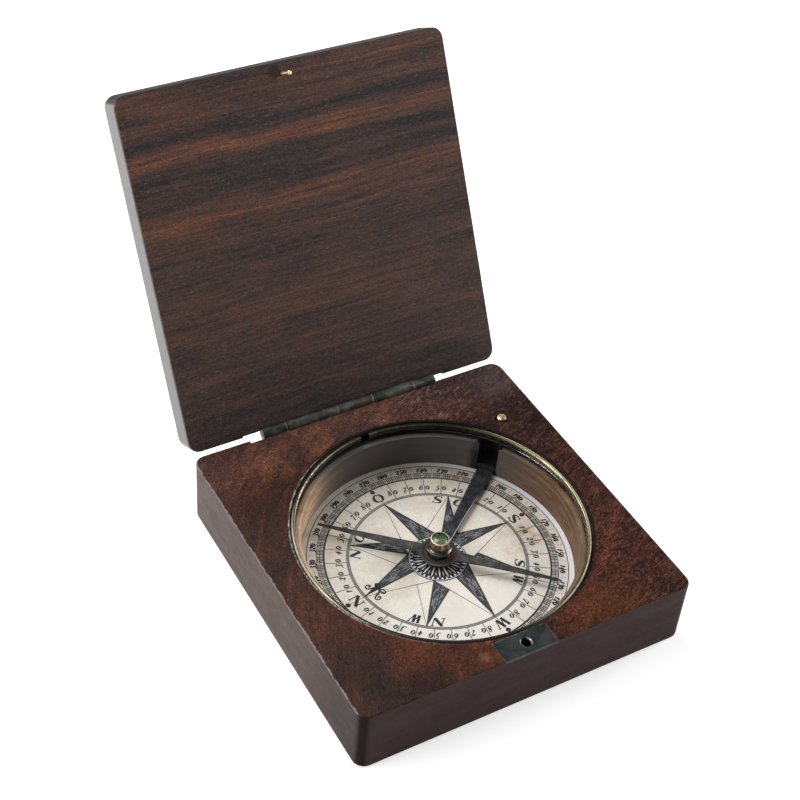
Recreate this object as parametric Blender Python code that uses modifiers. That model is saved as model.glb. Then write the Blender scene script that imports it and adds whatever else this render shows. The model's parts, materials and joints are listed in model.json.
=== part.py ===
"""Ship's boat compass in a mahogany case.

A square wooden box with a hinged lid.  The box is bored out on the lathe and
holds a printed card, a steel needle on a pivot, a glass and a split brass
ring.  Closing the lid presses a brass pin, which tips the lifter lever and
raises the needle off its pivot.

Frame: origin on the centre of the box's underside, +Z up, hinge at +Y,
catch at -Y.  The lid stands open on its stop.
"""
import math

import bmesh
import bpy
from mathutils import Matrix, Vector

# ----------------------------------------------------------------- dimensions
MM = 0.001

CASE_W = 90.0            # outside, across the hinge
CASE_D = 90.0            # outside, front to back
BASE_H = 18.0
LID_T = 7.3
LID_GAP = 0.2            # daylight between lid and box when shut
CORNER_R = 3.0           # upright corners
ARRIS = 0.25             # softened long edges

BORE_X, BORE_Y = 0.4, -1.8   # centre of the turning
BORE_R = 34.4
FLOOR_Z = 5.5            # bottom of the bowl
LEDGE_Z = 15.0           # seat of the glass
REBATE_R = 37.15

CARD_R = 34.2
CARD_T = 0.25

GLASS_R = 36.9
GLASS_T = 1.4
RING_RO = 37.0
RING_RI = 35.75
RING_H = 1.35
RING_SPLIT = 2.6
RING_SPLIT_ANGLE = 93.1

NEEDLE_R = 31.2
NEEDLE_Z = 8.03
NEEDLE_T = 0.35
NEEDLE_DISC_R = 4.85
NEEDLE_ANGLE = 136.6     # heading of the dotted end, from +X

CAP_TOP_Z = 13.1
JEWEL_R = 2.0

PIN_ANGLE = 38.15        # bearing of the locking pin from the pivot
PIN_DIST = 42.8
PIN_R = 1.22
PIN_HOLE_R = 1.65
PIN_TOP_Z = 18.57

LEVER_T = 0.5
LEVER_Z = 6.85           # mid height, and the fulcrum's
FULCRUM_DIST = 35.2
SLOT_W = 5.4

PLATE_W = 14.4
PLATE_X = -1.0
PLATE_Y0 = -45.0
PLATE_Y1 = -38.9
PLATE_T = 0.8
CATCH_X, CATCH_Y = -0.8, -42.0
CATCH_R = 1.25

HINGE_Y = 45.55
HINGE_Z = BASE_H + LID_GAP / 2
HINGE_L = 50.8
BARREL_R = 1.4
HPIN_R = 0.55
LEAF_T = 0.88
LEAF_FACE_Y = 44.98
KNUCKLE_GAP = 0.15
KNUCKLES = (-25.4, -18.4, -6.95, 6.95, 18.4, 25.4)
LID_OPEN = 118.0

SCREW_X = (-18.0, 0.0, 18.0)
BASE_SCREW_Z = 12.3
LID_SCREW_Z = 22.0
SCREW_HEAD_R = 1.3

# ------------------------------------------------------------------ the scene
for ob in list(bpy.data.objects):
    bpy.data.objects.remove(ob, do_unlink=True)
for block in list(bpy.data.meshes):
    bpy.data.meshes.remove(block)

scene_root = bpy.context.scene.collection
parts = bpy.data.collections.new("ship_compass")
cutters = bpy.data.collections.new("cutters")
scene_root.children.link(parts)
scene_root.children.link(cutters)


def material(name, colour, rough, metal=0.0, alpha=1.0):
    m = bpy.data.materials.new(name)
    m.use_nodes = True
    bsdf = m.node_tree.nodes["Principled BSDF"]
    bsdf.inputs["Base Color"].default_value = (*colour, 1.0)
    bsdf.inputs["Roughness"].default_value = rough
    bsdf.inputs["Metallic"].default_value = metal
    bsdf.inputs["Alpha"].default_value = alpha
    return m


MATS = {
    "mahogany": material("mahogany", (0.072, 0.020, 0.011), 0.45),
    "rosewood": material("rosewood", (0.035, 0.014, 0.009), 0.42),
    "paper": material("paper", (0.68, 0.63, 0.55), 0.85),
    "glass": material("glass", (0.80, 0.90, 0.88), 0.05, alpha=0.25),
    "brass": material("brass", (0.58, 0.44, 0.20), 0.32, 1.0),
    "dark_brass": material("dark_brass", (0.060, 0.062, 0.058), 0.45, 0.9),
    "bright_brass": material("bright_brass", (0.75, 0.56, 0.28), 0.25, 1.0),
    "blued_steel": material("blued_steel", (0.050, 0.052, 0.056), 0.40, 0.9),
    "steel": material("steel", (0.30, 0.30, 0.30), 0.35, 1.0),
    "jewel": material("jewel", (0.05, 0.14, 0.05), 0.08),
}


def place(ob, coll, parent=None):
    coll.objects.link(ob)
    if parent is not None:
        ob.parent = parent
    return ob


def as_cutter(ob):
    ob.hide_render = True
    ob.display_type = 'WIRE'
    return ob


def smooth(ob, angle=35.0):
    ob.data.shade_smooth()
    ob.data.set_sharp_from_angle(angle=math.radians(angle))


def finish(ob, mat):
    ob.data.materials.clear()
    ob.data.materials.append(MATS[mat])
    return ob


def mesh_object(name, bm, coll, parent=None):
    bmesh.ops.recalc_face_normals(bm, faces=bm.faces)
    me = bpy.data.meshes.new(name)
    bm.to_mesh(me)
    bm.free()
    return place(bpy.data.objects.new(name, me), coll, parent)


def box(name, lo, hi, coll=None, parent=None, upright_r=0.0, segs=6):
    """A block between two corners (mm), with its upright edges rounded."""
    bm = bmesh.new()
    bmesh.ops.create_cube(bm, size=1.0)
    size = [(b - a) * MM for a, b in zip(lo, hi)]
    mid = [(b + a) * 0.5 * MM for a, b in zip(lo, hi)]
    bmesh.ops.scale(bm, vec=Vector(size), verts=bm.verts)
    bmesh.ops.translate(bm, vec=Vector(mid), verts=bm.verts)
    if upright_r > 0:
        up = [e for e in bm.edges
              if abs(e.verts[0].co.z - e.verts[1].co.z) > 0.5 * size[2]]
        bmesh.ops.bevel(bm, geom=up, offset=upright_r * MM, offset_type='OFFSET',
                        segments=segs, profile=0.5, affect='EDGES')
    return mesh_object(name, bm, coll or parts, parent)


def rod(name, a, b, r, coll=None, parent=None, segs=32, r2=None):
    """A cylinder or cone from point a to point b (mm)."""
    a, b = Vector(a) * MM, Vector(b) * MM
    axis = b - a
    bm = bmesh.new()
    bmesh.ops.create_cone(bm, cap_ends=True, cap_tris=False, segments=segs,
                          radius1=r * MM, radius2=(r if r2 is None else r2) * MM,
                          depth=axis.length)
    turn = Vector((0, 0, 1)).rotation_difference(axis.normalized()).to_matrix()
    bmesh.ops.transform(bm, matrix=Matrix.Translation((a + b) / 2) @ turn.to_4x4(),
                        verts=bm.verts)
    return mesh_object(name, bm, coll or parts, parent)


def turned(name, profile, coll=None, parent=None, steps=64, at=(0, 0, 0),
           direction=None):
    """A lathe piece: profile is (r, z) in mm, down the outer side."""
    bm = bmesh.new()
    verts = [bm.verts.new((r * MM, 0.0, z * MM)) for r, z in profile]
    closed = profile[0][0] > 0 and profile[-1][0] > 0
    for p, q in zip(verts, verts[1:]):
        bm.edges.new((p, q))
    if closed:
        bm.edges.new((verts[-1], verts[0]))
    me = bpy.data.meshes.new(name)
    bm.to_mesh(me)
    bm.free()
    ob = place(bpy.data.objects.new(name, me), coll or parts, parent)
    ob.location = Vector(at) * MM
    if direction is not None:
        ob.rotation_mode = 'QUATERNION'
        ob.rotation_quaternion = Vector((0, 0, 1)).rotation_difference(
            Vector(direction).normalized())
    sc = ob.modifiers.new("Turn", 'SCREW')
    sc.axis = 'Z'
    sc.angle = math.tau
    sc.steps = steps
    sc.render_steps = steps
    sc.use_merge_vertices = True
    sc.merge_threshold = 0.000002
    sc.use_smooth_shade = True
    return ob


def realise(ob, world=False):
    """Replace an object's mesh with its evaluated one; drop the modifiers."""
    bpy.context.view_layer.update()
    dg = bpy.context.evaluated_depsgraph_get()
    me = bpy.data.meshes.new_from_object(ob.evaluated_get(dg))
    if ob.type == 'CURVE':
        name, coll, par = ob.name, ob.users_collection[0], ob.parent
        mw = ob.matrix_world.copy()
        bm = bmesh.new()
        bm.from_mesh(me)
        bmesh.ops.remove_doubles(bm, verts=bm.verts, dist=0.000001)
        bmesh.ops.recalc_face_normals(bm, faces=bm.faces)
        bm.to_mesh(me)
        bm.free()
        bpy.data.objects.remove(ob, do_unlink=True)
        me.name = name
        new = bpy.data.objects.new(name, me)
        coll.objects.link(new)
        if par is not None:
            new.parent = par
        new.matrix_world = mw
        return new
    ob.modifiers.clear()
    ob.data = me
    return ob


def boolean(ob, other, op='DIFFERENCE'):
    md = ob.modifiers.new(op.title() + "." + other.name, 'BOOLEAN')
    md.operation = op
    md.object = other
    md.solver = 'EXACT'
    return ob


def cut(ob, *tools):
    for t in tools:
        boolean(ob, as_cutter(t))
    return ob


def join(ob, *tools):
    for t in tools:
        boolean(ob, as_cutter(t), 'UNION')
    return ob


def outline(name, loops, half_t, z, parent=None, coll=None):
    """A flat plate from closed outlines (mm), lying at height z."""
    cu = bpy.data.curves.new(name, 'CURVE')
    cu.dimensions = '2D'
    cu.fill_mode = 'BOTH'
    cu.extrude = half_t * MM
    for pts in loops:
        sp = cu.splines.new('POLY')
        sp.points.add(len(pts) - 1)
        for p, (x, y) in zip(sp.points, pts):
            p.co = (x * MM, y * MM, 0.0, 1.0)
        sp.use_cyclic_u = True
    ob = place(bpy.data.objects.new(name, cu), coll or parts, parent)
    ob.location = (0, 0, z * MM)
    return ob


def ring_points(x, y, r, n, a0=0.0, a1=360.0):
    full = abs(a1 - a0) >= 360.0
    m = n if full else n - 1
    return [(x + r * math.cos(math.radians(a0 + (a1 - a0) * i / m)),
             y + r * math.sin(math.radians(a0 + (a1 - a0) * i / m)))
            for i in range(n)]


def empty(name, at, parent=None):
    e = bpy.data.objects.new(name, None)
    e.empty_display_size = 0.01
    parts.objects.link(e)
    e.location = Vector(at) * MM
    e.parent = parent
    return e


# --------------------------------------------------------------- directions
PIN_DIR = Vector((math.cos(math.radians(PIN_ANGLE)),
                  math.sin(math.radians(PIN_ANGLE)), 0.0))
PIN_SIDE = Vector((-PIN_DIR.y, PIN_DIR.x, 0.0))
HUB = Vector((BORE_X, BORE_Y, 0.0))
PIN_AT = HUB + PIN_DIR * PIN_DIST
FULCRUM = HUB + PIN_DIR * FULCRUM_DIST


def along(r, side=0.0, z=0.0):
    """A point r from the pivot towards the locking pin."""
    v = HUB + PIN_DIR * r + PIN_SIDE * side
    return (v.x, v.y, z)


def slot_tool(name, r0, r1, width, z0, z1):
    """A milled slot along the lever's line."""
    ob = box(name, (r0, -width / 2, z0), (r1, width / 2, z1), cutters,
             upright_r=min(1.2, width / 2 - 0.01), segs=4)
    ob.rotation_euler = (0, 0, math.radians(PIN_ANGLE))
    ob.location = HUB * MM
    return ob


# ------------------------------------------------------------ joint empties
lid_axis = empty("lid_axis", (0, HINGE_Y, HINGE_Z))
hub_axis = empty("hub_axis", (BORE_X, BORE_Y, 0))
lever_axis = empty("lever_axis", (FULCRUM.x, FULCRUM.y, LEVER_Z))
lever_axis.rotation_euler = (0, 0, math.radians(PIN_ANGLE))
pin_axis = empty("pin_axis", (PIN_AT.x, PIN_AT.y, 0))


# ============================================================ THE BOX (fixed)
base = box("base_box", (-CASE_W / 2, -CASE_D / 2, 0),
           (CASE_W / 2, CASE_D / 2, BASE_H), upright_r=CORNER_R)
bev = base.modifiers.new("Arris", 'BEVEL')
bev.width = ARRIS * MM
bev.segments = 1
bev.limit_method = 'ANGLE'
bev.angle_limit = math.radians(60)

bowl = turned("cut_bowl", [(0, BASE_H + 2), (REBATE_R, BASE_H + 2),
                           (REBATE_R, LEDGE_Z), (BORE_R, LEDGE_Z),
                           (BORE_R, FLOOR_Z), (0, FLOOR_Z)],
              cutters, steps=72, at=(BORE_X, BORE_Y, 0))
slot = slot_tool("cut_slot", 31.0, 38.4, SLOT_W, FLOOR_Z - 0.25, LEDGE_Z + 0.5)
chamber = slot_tool("cut_chamber", 33.0, 45.8, SLOT_W - 0.4,
                    FLOOR_Z - 0.15, FLOOR_Z + 4.6)
pin_bore = rod("cut_pin_bore", (PIN_AT.x, PIN_AT.y, FLOOR_Z + 3.5),
               (PIN_AT.x, PIN_AT.y, BASE_H + 1), PIN_HOLE_R, cutters, segs=32)
fulcrum_hole = rod("cut_fulcrum", along(FULCRUM_DIST, -4.7, LEVER_Z),
                   along(FULCRUM_DIST, 4.7, LEVER_Z), 0.47, cutters, segs=16)
pivot_hole = rod("cut_pivot", (BORE_X, BORE_Y, 2.3),
                 (BORE_X, BORE_Y, FLOOR_Z + 0.5), 1.3, cutters, segs=32)
plate_seat = box("cut_plate_seat",
                 (PLATE_X - PLATE_W / 2 - 0.08, PLATE_Y0 - 1.0,
                  BASE_H - PLATE_T - 0.05),
                 (PLATE_X + PLATE_W / 2 + 0.08, PLATE_Y1 + 0.12, BASE_H + 1.0),
                 cutters)
catch_well = rod("cut_catch_well", (CATCH_X, CATCH_Y, 13.2),
                 (CATCH_X, CATCH_Y, BASE_H - 0.4), 1.7, cutters, segs=28)
base_cove = rod("cut_base_cove", (-29.2, HINGE_Y, HINGE_Z),
                (25.8, HINGE_Y, HINGE_Z), BARREL_R + 0.2, cutters, segs=28)
base_leaf_seat = box("cut_base_leaf_seat",
                     (-HINGE_L / 2 - 0.12, LEAF_FACE_Y - LEAF_T - 0.06, 8.35),
                     (HINGE_L / 2 + 0.12, CASE_D / 2 + 1.0, 17.8), cutters)
tools = [bowl, slot, chamber, pin_bore, fulcrum_hole, pivot_hole, plate_seat,
         catch_well, base_cove, base_leaf_seat]
for i, x in enumerate(SCREW_X):
    tools.append(rod("cut_base_screw_%d" % i, (x, 45.5, BASE_SCREW_Z),
                     (x, 38.6, BASE_SCREW_Z), 0.74, cutters, segs=16))
cut(base, *tools)
finish(base, "mahogany")
smooth(base)

# the printed card on the bowl's floor
card = turned("compass_card", [(CARD_R, FLOOR_Z + 0.03 + CARD_T),
                               (CARD_R, FLOOR_Z + 0.03),
                               (1.5, FLOOR_Z + 0.03),
                               (1.5, FLOOR_Z + 0.03 + CARD_T)],
              steps=72, at=(BORE_X, BORE_Y, 0))
finish(card, "paper")

# the pivot: a brass post through the card, with the steel point in it
post = turned("pivot_post", [(0.52, 7.25), (1.05, 7.25), (1.2, 7.1),
                             (1.2, 6.15), (1.95, 6.05), (2.0, 5.95),
                             (2.0, 5.84), (1.2, 5.84), (1.2, 2.6), (0, 2.6),
                             (0, 5.0), (0.52, 5.0), (0.52, 7.25)][:-1],
              steps=24, at=(BORE_X, BORE_Y, 0))
finish(post, "brass")
point = turned("pivot_point", [(0, 12.52), (0.06, 12.46), (0.45, 10.4),
                               (0.45, 5.1), (0, 5.1)],
               steps=24, at=(BORE_X, BORE_Y, 0))
finish(point, "steel")

# the glass and the split ring that holds it
glass = turned("glass_window",
               [(0, LEDGE_Z + 0.03 + GLASS_T),
                (GLASS_R - 0.15, LEDGE_Z + 0.03 + GLASS_T),
                (GLASS_R, LEDGE_Z - 0.12 + GLASS_T),
                (GLASS_R, LEDGE_Z + 0.18), (GLASS_R - 0.15, LEDGE_Z + 0.03),
                (0, LEDGE_Z + 0.03)],
               steps=72, at=(BORE_X, BORE_Y, 0))
finish(glass, "glass")
rz = LEDGE_Z + GLASS_T + 0.07
ring = turned("bezel_ring",
              [(RING_RI + 0.30, rz + RING_H), (RING_RO - 0.30, rz + RING_H),
               (RING_RO - 0.07, rz + RING_H - 0.12), (RING_RO, rz + RING_H - 0.35),
               (RING_RO, rz + 0.15), (RING_RO - 0.15, rz),
               (RING_RI + 0.15, rz), (RING_RI, rz + 0.15),
               (RING_RI, rz + RING_H - 0.35), (RING_RI + 0.07, rz + RING_H - 0.12)],
              steps=72, at=(BORE_X, BORE_Y, 0))
split = box("cut_split", (RING_RI - 1.5, -RING_SPLIT / 2, rz - 1),
            (RING_RO + 1.5, RING_SPLIT / 2, rz + RING_H + 1), cutters)
split.rotation_euler = (0, 0, math.radians(RING_SPLIT_ANGLE))
split.location = HUB * MM
cut(ring, split)
finish(ring, "brass")

# the catch plate let into the front edge
plate = box("catch_plate", (PLATE_X - PLATE_W / 2, PLATE_Y0, BASE_H - PLATE_T),
            (PLATE_X + PLATE_W / 2, PLATE_Y1, BASE_H))
catch_hole = turned("cut_catch_hole",
                    [(0, BASE_H + 0.6), (CATCH_R + 0.8, BASE_H + 0.6),
                     (CATCH_R, BASE_H - 0.2), (CATCH_R, BASE_H - PLATE_T - 0.5),
                     (0, BASE_H - PLATE_T - 0.5)],
                    cutters, steps=32, at=(CATCH_X, CATCH_Y, 0))
cut(plate, catch_hole)
finish(plate, "dark_brass")
smooth(plate)

# ================================================================= THE HINGE


def leaf(name, spans, z_far, z_near, parent, screw_z):
    """A hinge leaf let into a rear face, with its knuckles rolled on."""
    lo, hi = min(z_far, z_near), max(z_far, z_near)
    ob = box(name, (-HINGE_L / 2, LEAF_FACE_Y - LEAF_T, lo),
             (HINGE_L / 2, LEAF_FACE_Y, hi), parent=parent)
    up = 1.0 if z_far < HINGE_Z else -1.0
    for i, (x0, x1) in enumerate(spans):
        tab = box("join_%s_tab_%d" % (name, i),
                  (x0, LEAF_FACE_Y - LEAF_T, min(z_near - 0.4 * up, HINGE_Z - 0.1 * up)),
                  (x1, LEAF_FACE_Y, max(z_near - 0.4 * up, HINGE_Z - 0.1 * up)),
                  cutters, parent)
        kn = rod("join_%s_knuckle_%d" % (name, i), (x0, HINGE_Y, HINGE_Z),
                 (x1, HINGE_Y, HINGE_Z), BARREL_R, cutters, parent, segs=28)
        join(ob, tab, kn)
    eye = rod("cut_%s_eye" % name, (-HINGE_L / 2 - 1, HINGE_Y, HINGE_Z),
              (HINGE_L / 2 + 1, HINGE_Y, HINGE_Z), HPIN_R + 0.06, cutters,
              parent, segs=16)
    cut(ob, eye)
    for i, x in enumerate(SCREW_X):
        sink = turned("cut_%s_sink_%d" % (name, i),
                      [(0, 1.0), (SCREW_HEAD_R + 0.09, 1.0),
                       (SCREW_HEAD_R + 0.09, -0.1), (0.74, -0.72),
                       (0.74, -2.0), (0, -2.0)],
                      cutters, parent, steps=16, at=(x, LEAF_FACE_Y, screw_z),
                      direction=(0, 1, 0))
        cut(ob, sink)
    finish(ob, "dark_brass")
    smooth(ob)
    return ob


k = KNUCKLES
g = KNUCKLE_GAP / 2
base_spans = [(k[0], k[1] - g), (k[2] + g, k[3] - g), (k[4] + g, k[5])]
lid_spans = [(k[1] + g, k[2] - g), (k[3] + g, k[4] - g)]


def local(ob):
    """Keep a lid piece's modelled (shut) coordinates about the lid axis."""
    ob.matrix_parent_inverse = Matrix.Translation(
        -Vector((0, HINGE_Y, HINGE_Z)) * MM)


base_leaf = leaf("hinge_leaf_base", base_spans, 8.45,
                 HINGE_Z - BARREL_R - 0.2, None, BASE_SCREW_Z)
lid_leaf = leaf("hinge_leaf_lid", lid_spans, 24.15,
                HINGE_Z + BARREL_R + 0.2, lid_axis, LID_SCREW_Z)

hinge_pin = rod("hinge_pin", (-HINGE_L / 2 - 0.1, HINGE_Y, HINGE_Z),
                (HINGE_L / 2 + 0.1, HINGE_Y, HINGE_Z), HPIN_R, segs=16)
finish(hinge_pin, "steel")
smooth(hinge_pin)

# one countersunk screw, then its copies
proto = turned("screw_proto", [(0, 0.0), (SCREW_HEAD_R - 0.05, 0.0),
                               (SCREW_HEAD_R, -0.06), (SCREW_HEAD_R, -0.14),
                               (0.64, -0.75), (0.64, -4.2), (0.1, -5.2),
                               (0, -5.2)], cutters, steps=16)
groove = box("cut_groove", (-2, -0.17, -0.3), (2, 0.17, 1), cutters)
cut(proto, groove)
proto = realise(proto)
screw_mesh = proto.data
bpy.data.objects.remove(proto, do_unlink=True)
bpy.data.objects.remove(groove, do_unlink=True)
screw_mesh.name = "hinge_screw"
screw_mesh.materials.clear()
screw_mesh.materials.append(MATS["steel"])
screw_mesh.shade_smooth()
screw_mesh.set_sharp_from_angle(angle=math.radians(35))
SLOT_TURNS = (20, -35, 70, 5, 50, -60)
lid_screws = []
for i, x in enumerate(SCREW_X):
    for where, z, par, turn in (("base", BASE_SCREW_Z, None, SLOT_TURNS[i]),
                                ("lid", LID_SCREW_Z, lid_axis, SLOT_TURNS[i + 3])):
        s = bpy.data.objects.new("hinge_screw_%s_%d" % (where, i + 1), screw_mesh)
        place(s, parts, par)
        s.location = (x * MM, (LEAF_FACE_Y - 0.02) * MM, z * MM)
        s.rotation_mode = 'QUATERNION'
        face = Vector((0, 0, 1)).rotation_difference(Vector((0, 1, 0)))
        spin = Vector((0, 0, 1))
        s.rotation_quaternion = face @ Matrix.Rotation(
            math.radians(turn), 3, 'Z').to_quaternion()
        if par is not None:
            lid_screws.append(s)

# =================================================================== THE LID
LZ0 = BASE_H + LID_GAP
LZ1 = LZ0 + LID_T
lid = box("lid_board", (-CASE_W / 2, -CASE_D / 2, LZ0),
          (CASE_W / 2, CASE_D / 2, LZ1), parent=lid_axis, upright_r=CORNER_R)
bev = lid.modifiers.new("Arris", 'BEVEL')
bev.width = ARRIS * MM
bev.segments = 1
bev.limit_method = 'ANGLE'
bev.angle_limit = math.radians(60)
lid_cove = rod("cut_lid_cove", (-30.5, HINGE_Y, HINGE_Z), (28.5, HINGE_Y, HINGE_Z),
               BARREL_R + 0.2, cutters, lid_axis, segs=28)
lid_leaf_seat = box("cut_lid_leaf_seat",
                    (-HINGE_L / 2 - 0.12, LEAF_FACE_Y - LEAF_T - 0.06, 18.4),
                    (HINGE_L / 2 + 0.12, CASE_D / 2 + 1.0, 24.25),
                    cutters, lid_axis)
prong_hole = rod("cut_prong_hole", (CATCH_X - 0.62, CATCH_Y, LZ0 - 1),
                 (CATCH_X - 0.62, CATCH_Y, LZ0 + 3.6), 0.52, cutters, lid_axis,
                 segs=16)
lid_tools = [lid_cove, lid_leaf_seat, prong_hole]
for i, x in enumerate(SCREW_X):
    lid_tools.append(rod("cut_lid_screw_%d" % i, (x, 45.5, LID_SCREW_Z),
                         (x, 38.6, LID_SCREW_Z), 0.74, cutters, lid_axis,
                         segs=16))
cut(lid, *lid_tools)
finish(lid, "rosewood")
smooth(lid)

# the bent brass prong that drops into the catch plate
px, py = CATCH_X - 0.62, CATCH_Y
prong_pts = []
PRONG = [(0.0, 3.3), (0.0, 1.2), (0.0, 0.2), (0.10, -0.5), (0.42, -1.3),
         (0.80, -2.1), (1.10, -2.85)]
for (ax, az), (bx, bz) in zip(PRONG, PRONG[1:]):
    for j in range(2):
        t = j / 2
        prong_pts.append((px + ax + (bx - ax) * t, py, LZ0 + az + (bz - az) * t))
prong_pts.append((px + PRONG[-1][0], py, LZ0 + PRONG[-1][1]))
cu = bpy.data.curves.new("lid_prong", 'CURVE')
cu.dimensions = '3D'
cu.bevel_depth = 0.42 * MM
cu.bevel_resolution = 3
cu.use_fill_caps = True
sp = cu.splines.new('POLY')
sp.points.add(len(prong_pts) - 1)
for p, co in zip(sp.points, prong_pts):
    p.co = (co[0] * MM, co[1] * MM, co[2] * MM, 1.0)
prong = place(bpy.data.objects.new("lid_prong", cu), parts)
prong = realise(prong)
bm = bmesh.new()
bmesh.ops.create_uvsphere(bm, u_segments=16, v_segments=10, radius=0.58 * MM)
bmesh.ops.translate(bm, vec=Vector((px + PRONG[-1][0], py, LZ0 + PRONG[-1][1])) * MM,
                    verts=bm.verts)
bead = mesh_object("join_prong_bead", bm, cutters)
join(prong, bead)
finish(prong, "bright_brass")
smooth(prong, 50)
prong.parent = lid_axis
bead.parent = lid_axis

# hang every lid piece on the lid's axis, then open the lid
for ob in list(parts.objects) + list(cutters.objects):
    if ob.parent is lid_axis:
        local(ob)
lid_axis.rotation_euler = (-math.radians(LID_OPEN), 0, 0)

# ======================================================= THE NEEDLE AND ITS CAP
cap = turned("needle_cap",
             [(2.10, CAP_TOP_Z), (2.36, CAP_TOP_Z - 0.04), (2.42, CAP_TOP_Z - 0.2),
              (2.36, CAP_TOP_Z - 0.5), (2.18, CAP_TOP_Z - 0.62), (2.22, 11.6),
              (2.45, 10.6), (2.75, 10.15), (3.05, 10.0), (3.12, 9.85),
              (3.05, 9.65), (2.80, 9.5), (2.78, 8.9), (2.95, 8.55), (2.95, 8.46),
              (1.9, 8.46), (1.9, 7.95), (2.30, 7.95), (2.35, 7.88), (2.35, 7.66),
              (2.28, 7.60), (1.35, 7.60), (1.35, 11.9), (2.10, 12.05)],
             steps=36, parent=hub_axis)
finish(cap, "brass")

jewel = turned("cap_jewel",
               [(0, 13.22), (0.6, 13.19), (1.2, 13.08), (1.7, 12.9),
                (JEWEL_R, 12.68), (JEWEL_R, 12.15), (0.75, 12.15), (0, 12.62)],
               steps=28, parent=hub_axis)
finish(jewel, "jewel")

needle_ctl = empty("needle_axis", (0, 0, 0), hub_axis)
needle_ctl.rotation_euler = (0, 0, math.radians(NEEDLE_ANGLE))


def needle_half(x):
    """Half width of the blade at x from the centre."""
    pts = [(4.0, 1.65), (7.0, 1.38), (12.0, 1.14), (20.0, 0.80), (27.0, 0.46),
           (30.2, 0.28)]
    if x <= pts[0][0]:
        return pts[0][1]
    for (a, wa), (b, wb) in zip(pts, pts[1:]):
        if x <= b:
            return wa + (wb - wa) * (x - a) / (b - a)
    return pts[-1][1]


stations = (8.0, 12.0, 16.0, 20.0, 24.0, 27.0, 29.6)
disc_a = math.asin(1.62 / NEEDLE_DISC_R)
loop = []
# the dotted end, then the disc's upper edge, the pointed end, the lower edge
right = [(x, needle_half(x)) for x in stations]
loop += [(x, -w) for x, w in right]
dot = 0.42
loop += [(NEEDLE_R - dot + dot * math.cos(math.radians(t)),
          dot * math.sin(math.radians(t))) for t in range(-120, 121, 30)]
loop += [(x, w) for x, w in reversed(right)]
loop += [(NEEDLE_DISC_R * math.cos(t), NEEDLE_DISC_R * math.sin(t))
         for t in [disc_a + (math.pi - 2 * disc_a) * i / 20 for i in range(21)]]
loop += [(-x, w) for x, w in right]
loop += [(-NEEDLE_R, 0.0)]
loop += [(-x, -w) for x, w in reversed(right)]
loop += [(NEEDLE_DISC_R * math.cos(t), NEEDLE_DISC_R * math.sin(t))
         for t in [math.pi + disc_a + (math.pi - 2 * disc_a) * i / 20
                   for i in range(21)]]
needle = outline("needle", [loop, ring_points(0, 0, 2.0, 48)], NEEDLE_T / 2,
                 NEEDLE_Z + NEEDLE_T / 2, needle_ctl)
needle = realise(needle)
finish(needle, "blued_steel")
smooth(needle, 30)

# ===================================================== THE LIFTER AND ITS PIN


def lever_half(r):
    return min(2.1, 0.95 + (r - 3.0) * 0.041)


a_in = math.asin(0.95 / 3.1)
lv = [(3.1 * math.cos(t) - FULCRUM_DIST, 3.1 * math.sin(t))
      for t in [a_in + (math.tau - 2 * a_in) * i / 28 for i in range(29)]]
lv += [(r - FULCRUM_DIST, -lever_half(r)) for r in (8, 16, 24, 31.2)]
lv += [(43.0 - FULCRUM_DIST + 2.1 * math.cos(math.radians(t)),
        2.1 * math.sin(math.radians(t))) for t in range(-90, 91, 30)]
lv += [(r - FULCRUM_DIST, lever_half(r)) for r in (31.2, 24, 16, 8)]
lever = outline("lifter_lever", [lv, ring_points(-FULCRUM_DIST, 0, 1.7, 28)],
                LEVER_T / 2, 0.0, lever_axis)
lever = realise(lever)
boss = rod("join_lever_boss", (0, -2.25, 0), (0, 2.25, 0), 0.85, cutters,
           lever_axis, segs=24)
eye = rod("cut_lever_eye", (0, -4, 0), (0, 4, 0), 0.46, cutters, lever_axis,
          segs=16)
join(lever, boss)
cut(lever, eye)
finish(lever, "blued_steel")
smooth(lever, 30)

fulcrum = rod("lever_fulcrum_pin", (0, -4.35, 0), (0, 4.35, 0), 0.4,
              parent=lever_axis, segs=16)
finish(fulcrum, "steel")
smooth(fulcrum)

lock_pin = turned("lock_pin",
                  [(0, PIN_TOP_Z), (PIN_R - 0.22, PIN_TOP_Z - 0.02),
                   (PIN_R - 0.05, PIN_TOP_Z - 0.10), (PIN_R, PIN_TOP_Z - 0.25),
                   (PIN_R, 8.75), (1.75, 8.65), (1.75, 8.05), (PIN_R, 7.95),
                   (PIN_R, 7.6), (0.7, 7.2), (0, 7.18)],
                  steps=24, parent=pin_axis)
finish(lock_pin, "bright_brass")
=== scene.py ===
"""Looks for the ship's boat compass: woods, metals, glass and the printed card.

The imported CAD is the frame.  The card's print is thin geometry laid on the
card, and every surface has a procedural material.  Lengths in the helpers are
in millimetres and are turned into metres where the mesh is made.
"""
import json
import math

import bpy
from mathutils import Matrix, Vector


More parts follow.
